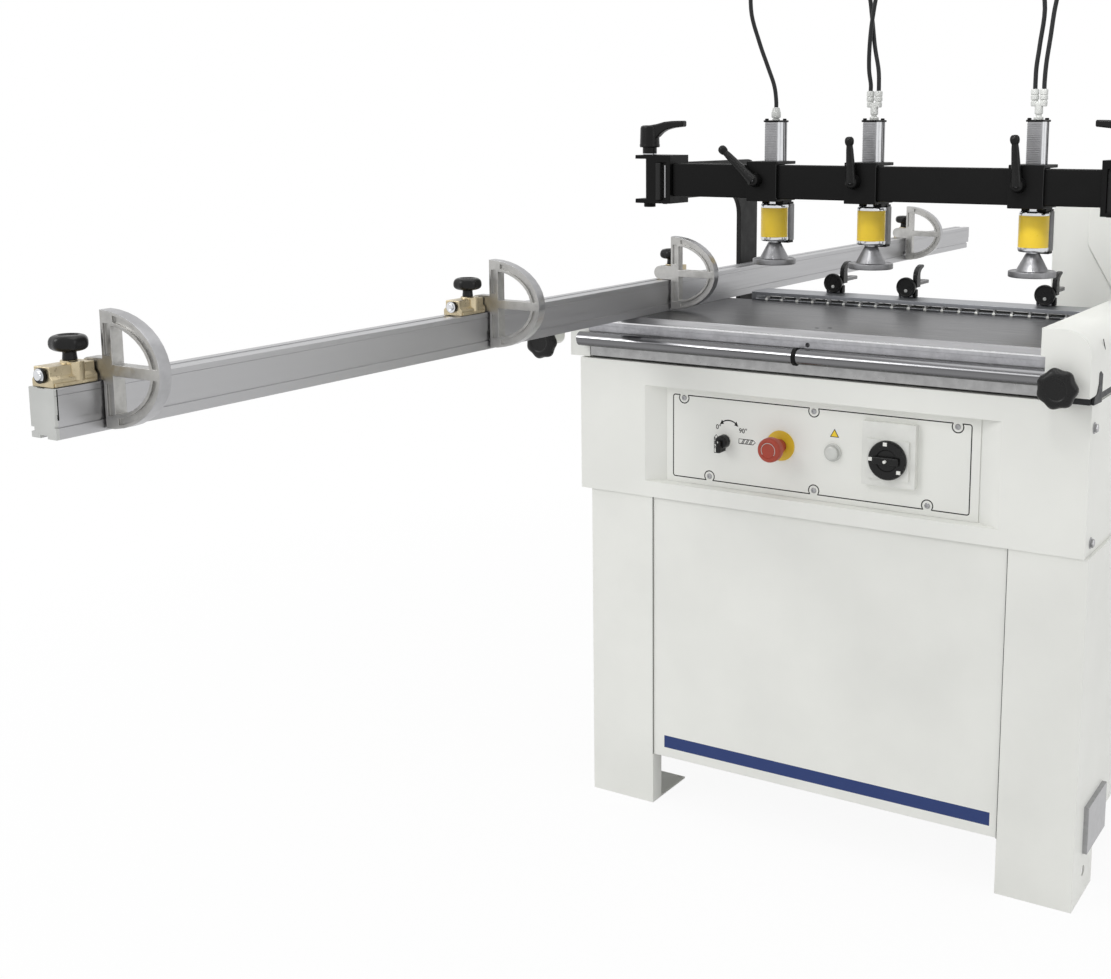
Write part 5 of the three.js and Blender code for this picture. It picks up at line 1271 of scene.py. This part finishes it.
stop = Piece("estop_button_finished")
stop.turned("y", (STOP_AT[0], 0, STOP_AT[1]), ESTOP, red_plastic, sides=64)
stop.made("estop", record_slots["estop_button"], ["estop_button"])
arc_place = DRAWING @ Matrix(
    ((1, 0, 0, STOP_AT[0]), (0, 0, -1, ESTOP_FACE), (0, 1, 0, STOP_AT[1]), (0, 0, 0, 1))
)
marks(
    "estop_turn_line", [arc_points((0, 0), ESTOP_LINE_RADIUS, -35, 215, 26)], ESTOP_LINE_WIDE, False,
    body="estop", place=arc_place, finish=lamp_plastic,
)

lamp = Piece("lamp_button_finished")
lamp.turned("y", (LAMP_AT[0], 0, LAMP_AT[1]), LAMP, lamp_plastic)
lamp.made("lamp", record_slots["lamp_button"], ["lamp_button"])

isolator = Piece("main_switch_knob_finished")
isolator.turned("y", (ISOLATOR_AT[0], 0, ISOLATOR_AT[1]), ISOLATOR, knob_plastic, sides=72)
bar_across(isolator, ISOLATOR_AT, ISOLATOR_BAR, knob_plastic, 2.6, 3)
for angle in ISOLATOR_MARKS:
    mark_at = arc_points(ISOLATOR_AT, ISOLATOR_MARK_RADIUS, angle, angle, 1)[0]
    bar_across(isolator, mark_at, ISOLATOR_MARK, white_paint, 0.5)
isolator.turned("y", (ISOLATOR_AT[0], 0, ISOLATOR_AT[1]), ISOLATOR_PIN, white_paint, sides=16)
isolator.made("main_switch", record_slots["main_switch_knob"], ["main_switch_knob"])

# Flip stops
SECTOR_MIDDLE, SECTOR_REACH, SECTOR_HALF = (122.2, 968.6), 90, 66
SECTOR_RIM_SHARE = 0.985
SHAFT_AT, SHAFT_RADIUS = (99.4, 968.6), 5.2
SECTOR_THICK = 60.5
BUMPER = [(0, 119.6), (3, 119.6), (4, 120.4), (4, 123), (0, 123)]
BUMPER_LIFTS, BUMPER_IN = (42, -48), 8
SHAFT_TIP = [(0, -6), (5.3, -6), (5.3, -1.2), (4.6, 0.2), (3, 0.6), (0, 0.7)]
SHAFT_RING = [(0, -8.6), (6.4, -8.6), (7, -8), (7, -5.6), (6.4, -5), (0, -5)]
BOSS_FROM_SIDE = 7.4
LIP_LEFT, LIP_RIGHT, LIP_ENDS, LIP_LOW, LIP_HIGH = 4, 1.6, 2.4, 0.2, 4.6


def sector_finish(face, outward):
    """The finish at each point of a stop: cast sector, its bright rim, and the shaft past its end."""
    def finish_at(centre):
        if (centre.y - face) * outward > SECTOR_THICK:
            far = math.hypot(centre.x - SHAFT_AT[0], centre.z - SHAFT_AT[1])
            return knob_plastic if far > SHAFT_RADIUS else chrome
        reach = math.hypot(
            (centre.x - SECTOR_MIDDLE[0]) / SECTOR_REACH, (centre.z - SECTOR_MIDDLE[1]) / SECTOR_HALF
        )
        return bright_edge if reach > SECTOR_RIM_SHARE else cast_alloy
    return finish_at


def boss_profile(low, high):
    """The round boss between the block's bottom and top."""
    return [
        (0, low + 2), (8.6, low + 2), (9.2, low + 2.6), (9.2, high - 1), (8.6, high - 0.4), (0, high - 0.4),
    ]


for i in (1, 2, 3, 4):
    node, block = f"flip_stop_{i}", f"stop_block_{i}"
    low, high = drawn(node)
    block_low, block_high = drawn(block)
    outward = 1 if block_low.y + block_high.y > low.y + high.y else -1
    face, tip = (low.y, high.y) if outward == 1 else (high.y, low.y)
    rounded(node, sector_finish(face, outward), 1.2 * MM)
    bumpers = Piece(f"stop_bumpers_{i}")
    for lift in BUMPER_LIFTS:
        bumpers.turned(
            "x", (0, face + outward * BUMPER_IN, SECTOR_MIDDLE[1] + lift), BUMPER, knob_plastic, sides=20
        )
    shaft_end = (SHAFT_AT[0], tip, SHAFT_AT[1])
    bumpers.turned((0, outward, 0), shaft_end, SHAFT_TIP, chrome, sides=32)
    bumpers.turned((0, outward, 0), shaft_end, SHAFT_RING, knob_plastic, sides=32)
    bumpers.made(body_of_node[node], record_slots[node])
    rounded(block, brass_block, 1.5 * MM)
    knob_low, knob_high = drawn(f"stop_knob_{i}")
    boss = Piece(f"stop_boss_{i}")
    boss_at = (block_high.x - BOSS_FROM_SIDE, (knob_low.y + knob_high.y) / 2, 0)
    boss.turned("z", boss_at, boss_profile(block_low.z, block_high.z), brass_block, sides=40)
    boss.slab(
        (block_low.x + LIP_LEFT, block_low.y + LIP_ENDS, block_low.z + LIP_LOW),
        (block_high.x + LIP_RIGHT, block_high.y - LIP_ENDS, block_low.z + LIP_HIGH), brass_block, 1,
    )
    boss.made(block, record_slots[block])

# Rails, fence and fasteners
rod_low, rod_high = drawn("guide_rod")
ROD_Y, ROD_Z, ROD_RADIUS = -13, 857.2, 12.6
ROD_BEVEL = 1.6
ROD_COLLAR = [(12, 428.6), (14.6, 428.6), (15.2, 429.4), (15.2, 434.4), (14.6, 435.2), (12, 435.2)]
rod = Piece("guide_rod_finished")
rod.turned("x", (0, ROD_Y, ROD_Z), [
    (0, rod_low.x), (ROD_RADIUS - ROD_BEVEL, rod_low.x), (ROD_RADIUS, rod_low.x + ROD_BEVEL),
    (ROD_RADIUS, rod_high.x), (0, rod_high.x),
], rod_painted_highlight)
rod.turned("x", (0, ROD_Y, ROD_Z), ROD_COLLAR, black_paint)
rod.made(body_of_node["guide_rod"], record_slots["guide_rod"], ["guide_rod"])

PLACE_FIRST, PLACE_PITCH, PLACE_COUNT = 198.5, 32, 20
places = [PLACE_FIRST + PLACE_PITCH * k for k in range(PLACE_COUNT)]
WEB_LOW, WEB_HIGH = (0.2, 0, 0), (4, 11.6, 7.2)
WEB_SHIFT, WEB_FRONT, WEB_FOOT = 2, 349.2, 902.4
web = Piece("web", Matrix.Identity(4))
web.slab(WEB_LOW, WEB_HIGH, fence_steel, 0.3, 1)
repeated(
    "fence_webs", web, [(x - WEB_SHIFT, WEB_FRONT, WEB_FOOT) for x in places],
    rail_steel, "base",
)
FENCE_LEFT, FENCE_RIGHT = 167, 838
DARK_PLACES = [(321, 380), (464, 520), (719, 764)]
DARK_FRONT, DARK_BACK, DARK_LOW, DARK_HIGH = 348.75, 349.6, 885, 902
DOT_HALF, DOT_FRONT, DOT_BACK, DOT_LOW, DOT_HIGH = 2.6, 347.9, 349.2, 900, 904
inserts = Piece("fence_inserts")
for start, end in DARK_PLACES:
    inserts.slab((start, DARK_FRONT, DARK_LOW), (end, DARK_BACK, DARK_HIGH), dark_insert_and_shade, 0.2)
# Long strips behind and on the fence: front, back, bottom and top, the finish and its edge
for front, back, low, high, finish, edge in (
    # the first strip, behind the openings, is grey in place of the shaded depth seen through them
    (416.4, 418.6, 884.2, 899.6, shaded_filling_grey, 0.3),
    (349.1, 350.6, 908.7, 909.9, fence_steel, 0.2),
    (348.4, 349.4, 899.6, 901.2, dark_insert_and_shade, 0.2),
):
    inserts.slab((FENCE_LEFT, front, low), (FENCE_RIGHT, back, high), finish, edge)
for x in places:
    inserts.slab((x - DOT_HALF, DOT_FRONT, DOT_LOW), (x + DOT_HALF, DOT_BACK, DOT_HIGH), white_paint, 0.6)
inserts.made("base", record_slots["drill_fence"])

# A painted highlight: a thin bright strip along the table's front edge stands in for the glint on its
# rounded edge
EDGE_GLINT_LOW, EDGE_GLINT_HIGH = (19.4, -4.4, 887.4), (840, -3.4, 889.9)
edges = Piece("table_edge_line")
edges.slab(EDGE_GLINT_LOW, EDGE_GLINT_HIGH, glint_paint_steel, 0.3)
edges.made(body_of_node["table"], record_slots["table"])
GAP_LINES, GAP_WIDE = (147.9, 792.3), 0.8
GAP_FRONT, GAP_BACK, GAP_LOW, GAP_HIGH = 3.75, 4.6, 95, 580.4
gaps = Piece("panel_gap_lines")
for x in GAP_LINES:
    gaps.slab((x, GAP_FRONT, GAP_LOW), (x + GAP_WIDE, GAP_BACK, GAP_HIGH), line_ink)
gaps.made("base", record_slots["drill_fence"])

# Painted shade beside and under the right casting: dark sheets on its side and on the apron below it, and a
# thin dark slanted line; the outlines are (y, z)
SIDE_SHADE = [(-6, 821), (40, 819), (40, 862), (28, 868), (20, 866), (19, 850), (9, 836), (-4, 833)]
SIDE_SHADE_LEFT, SIDE_SHADE_RIGHT = 912.6, 916.9
UNDER_SHADE_LOW, UNDER_SHADE_HIGH = (846, -12, 821.3), (912, 300, 833.7)
SLANT_LINE = [(34, 915.5), (35.4, 916), (50, 898.6), (48.6, 897.8)]
SLANT_LINE_LEFT, SLANT_LINE_RIGHT = 915.4, 916.3
shadow = Piece("casting_side_plate")
shadow.prism("x", SIDE_SHADE, SIDE_SHADE_LEFT, SIDE_SHADE_RIGHT, dark_insert_and_shade, 0.4)
shadow.slab(UNDER_SHADE_LOW, UNDER_SHADE_HIGH, dark_insert_and_shade)
shadow.prism("x", SLANT_LINE, SLANT_LINE_LEFT, SLANT_LINE_RIGHT, dark_insert_and_shade)
shadow.made("base", record_slots["drill_fence"])

SIDE_BOLTS = [(19.5, 782), (31, 600)]
BOLT_WASHER = [(0, 912.3), (9, 912.3), (9, 913.6), (8.4, 914), (0, 914)]
BOLT_HEAD = [(0, 913.8), (6.8, 913.8), (7, 917.4), (6, 918.4), (0, 918.4)]
bolts = Piece("side_bolts")
for y, z in SIDE_BOLTS:
    bolts.turned("x", (0, y, z), BOLT_WASHER, zinc)
    bolts.turned("x", (0, y, z), BOLT_HEAD, zinc, sides=6)
bolts.made("base", record_slots["lamp_button"])

# Rounded copies of the solids
TABLE_LIP, BEVEL_LOW, KNURL_LOW = 3.2, 889.6, 871
CATCH_LEFT, CATCH_HIGH = 918.2, 160


def table_finish(centre):
    """The bevel, the knurled band and the ground top of the table."""
    if centre.y > TABLE_LIP:
        return ground_steel
    if centre.z > BEVEL_LOW:
        return bevel_steel
    return knurl_steel if centre.z > KNURL_LOW else ground_steel


def base_finish(centre):
    """The plated catch on the right side; paint elsewhere."""
    return zinc if centre.x > CATCH_LEFT and centre.z < CATCH_HIGH else white_paint


# The finish of each node, and the radius of its edges in millimetres
ROUNDINGS = {
    "front_panel": (panel_paint, 1.0),
    "apron": (white_paint, 3.0),
    "end_casting_right": (white_paint, 3.0),
    "end_casting_left": (white_paint, 3.0),
    "rear_housing": (shaded_cover_paint, 0.6),
    "base_frame": (base_finish, 1.0),
    "upper_body": (white_paint, 1.0),
    "table": (table_finish, 0.6),
    "front_rail": (rail_steel, 1.0),
    "drill_fence": (fence_steel, 0.6),
    "stop_rail": (fence_steel, 0.6),
    "press_beam": (black_paint, 2.0),
    "press_arm_left": (arm_paint, 1.5),
    "press_arm_right": (arm_paint, 1.5),
    "beam_bracket_left": (black_paint, 3.5),
    "beam_bracket_right": (black_paint, 3.5),
    "head_carriage": (grey_iron, 0.8),
    "boring_head": (grey_iron, 0.6),
}
for node, (finish, edge) in ROUNDINGS.items():
    rounded(node, finish, edge * MM)

# The bulge on the rear housing stays in the full white, lighter than the painted shade of the housing's
# front
BULGE_OUTLINE = [(743, 1112), (743, 1012), (748, 1002), (806, 906), (806, 836), (907, 836), (907, 1112)]
BULGE_FRONT, BULGE_BACK = 593.4, 600.2
bulge = Piece("housing_bulge")
bulge.prism("y", BULGE_OUTLINE, BULGE_FRONT, BULGE_BACK, white_paint, 3, 4)
bulge.made(body_of_node["rear_housing"], record_slots["rear_housing"])

# Painted shade: a dark plate in the gap between each press arm and its bracket cheek stands in for the
# shade there; on the left a bright strip lies in front of it
GAP_SHADE_WIDE, GAP_SHADE_FRONT, GAP_SHADE_BACK, GAP_SHADE_LOW, GAP_SHADE_HIGH = 9.5, 197, 199, 1087, 1162.6
RULE_LEFT, RULE_RIGHT, RULE_FRONT, RULE_BACK, RULE_LOW, RULE_HIGH = 4.2, 7, 195.6, 197.4, 1099, 1158
for side, left in (("left", 55.4), ("right", 871.1)):
    fill = Piece(f"bracket_fill_{side}")
    fill.slab((left, GAP_SHADE_FRONT, GAP_SHADE_LOW), (left + GAP_SHADE_WIDE, GAP_SHADE_BACK, GAP_SHADE_HIGH), arm_paint, 0.4)
    if side == "left":
        fill.slab(
            (left + RULE_LEFT, RULE_FRONT, RULE_LOW), (left + RULE_RIGHT, RULE_BACK, RULE_HIGH),
            bright_edge, 0.4,
        )
    node = f"beam_bracket_{side}"
    fill.made(body_of_node[node], record_slots[node])


# Floor, background and light
def maths(tree, operation, first, second):
    """A sum, product or greater of two outputs."""
    made = tree.nodes.new("ShaderNodeMath")
    made.operation = operation
    tree.links.new(first, made.inputs[0])
    tree.links.new(second, made.inputs[1])
    return made.outputs[0]


def ranged(tree, value, **limits):
    """A value brought into a range."""
    made = tree.nodes.new("ShaderNodeMapRange")
    for key, limit in limits.items():
        made.inputs[key.replace("_", " ")].default_value = limit
    tree.links.new(value, made.inputs["Value"])
    return made.outputs["Result"]


def shown(tree):
    """One for rays from the camera, in reflections and through glass, else zero."""
    rays = tree.nodes.new("ShaderNodeLightPath").outputs
    direct = maths(tree, "MAXIMUM", rays["Is Camera Ray"], rays["Is Glossy Ray"])
    return maths(tree, "MAXIMUM", direct, rays["Is Transmission Ray"])


WORLD_LIGHT = 0.62
world = bpy.data.worlds.new("studio")
bpy.context.scene.world = world
world.use_nodes = True
sky = world.node_tree
background = sky.nodes["Background"]
level = ranged(sky, shown(sky), To_Min=WORLD_LIGHT, To_Max=1.0)
sky.links.new(level, background.inputs["Strength"])
background.inputs["Color"].default_value = (1, 1, 1, 1)

FLOOR_HALF = 9.0
FLOOR_WHITE = (0.9, 0.9, 0.9, 1)
# The floor is a little duller near the machine, between these distances in metres
FADE_FROM, FADE_TO, FADE_SHARE = 0.9, 2.4, 0.93
floor_mesh = bpy.data.meshes.new("floor")
floor_corners = [(x * FLOOR_HALF, y * FLOOR_HALF, 0) for x, y in ((-1, -1), (1, -1), (1, 1), (-1, 1))]
floor_mesh.from_pydata(floor_corners, [], [(0, 1, 2, 3)])
floor = in_scene("floor", floor_mesh)
floor_finish = bpy.data.materials.new("floor white")
floor_finish.use_nodes = True
tree = floor_finish.node_tree
floor_shader = tree.nodes["Principled BSDF"]
floor_shader.inputs["Base Color"].default_value = FLOOR_WHITE
floor_shader.inputs["Roughness"].default_value = 0.9
glow = tree.nodes.new("ShaderNodeEmission")
blend = tree.nodes.new("ShaderNodeMixShader")
away = tree.nodes.new("ShaderNodeVectorMath")
away.operation = "LENGTH"
tree.links.new(tree.nodes.new("ShaderNodeTexCoord").outputs["Object"], away.inputs[0])
fade = ranged(
    tree, away.outputs["Value"], From_Min=FADE_FROM, From_Max=FADE_TO, To_Min=FADE_SHARE, To_Max=1.0
)
tree.links.new(maths(tree, "MULTIPLY", shown(tree), fade), blend.inputs[0])
tree.links.new(floor_shader.outputs[0], blend.inputs[1])
tree.links.new(glow.outputs[0], blend.inputs[2])
tree.links.new(blend.outputs[0], tree.nodes["Material Output"].inputs["Surface"])
floor_mesh.materials.append(floor_finish)


def hung(name, kind, place, target, power):
    """A lamp at its place, turned to its target."""
    data = bpy.data.lights.new(name, kind)
    data.energy = power
    lamp = in_scene(name, data)
    lamp.location = place
    lamp.rotation_euler = (Vector(target) - Vector(place)).to_track_quat("-Z", "Y").to_euler()
    return data


# The area lamps: place, target, size and power
LAMPS = {
    "key": ((-2.6, -3.6, 3.4), (0.1, -0.2, 0.7), 2.2, 62),
    "side": ((3.8, -0.6, 2.2), (0.4, 0.2, 0.7), 1.8, 16.5),
    "top": ((0.2, -0.4, 4.2), (0.1, 0.0, 0.9), 2.6, 30),
}
for name, (place, target, size, power) in LAMPS.items():
    area = hung(name, "AREA", place, target, power)
    area.shape = "SQUARE"
    area.size = size

# A narrow lamp on the rear housing
HOUSING_LAMP, HOUSING_AIM, HOUSING_POWER = (0.25, -1.6, 2.9), (0.41, 0.32, 0.98), 210
HOUSING_CONE, HOUSING_SOFT = math.radians(22), 0.35
beam = hung("housing", "SPOT", HOUSING_LAMP, HOUSING_AIM, HOUSING_POWER)
beam.spot_size = HOUSING_CONE
beam.spot_blend = 1.0
beam.shadow_soft_size = HOUSING_SOFT

bpy.context.scene.view_settings.view_transform = "Standard"
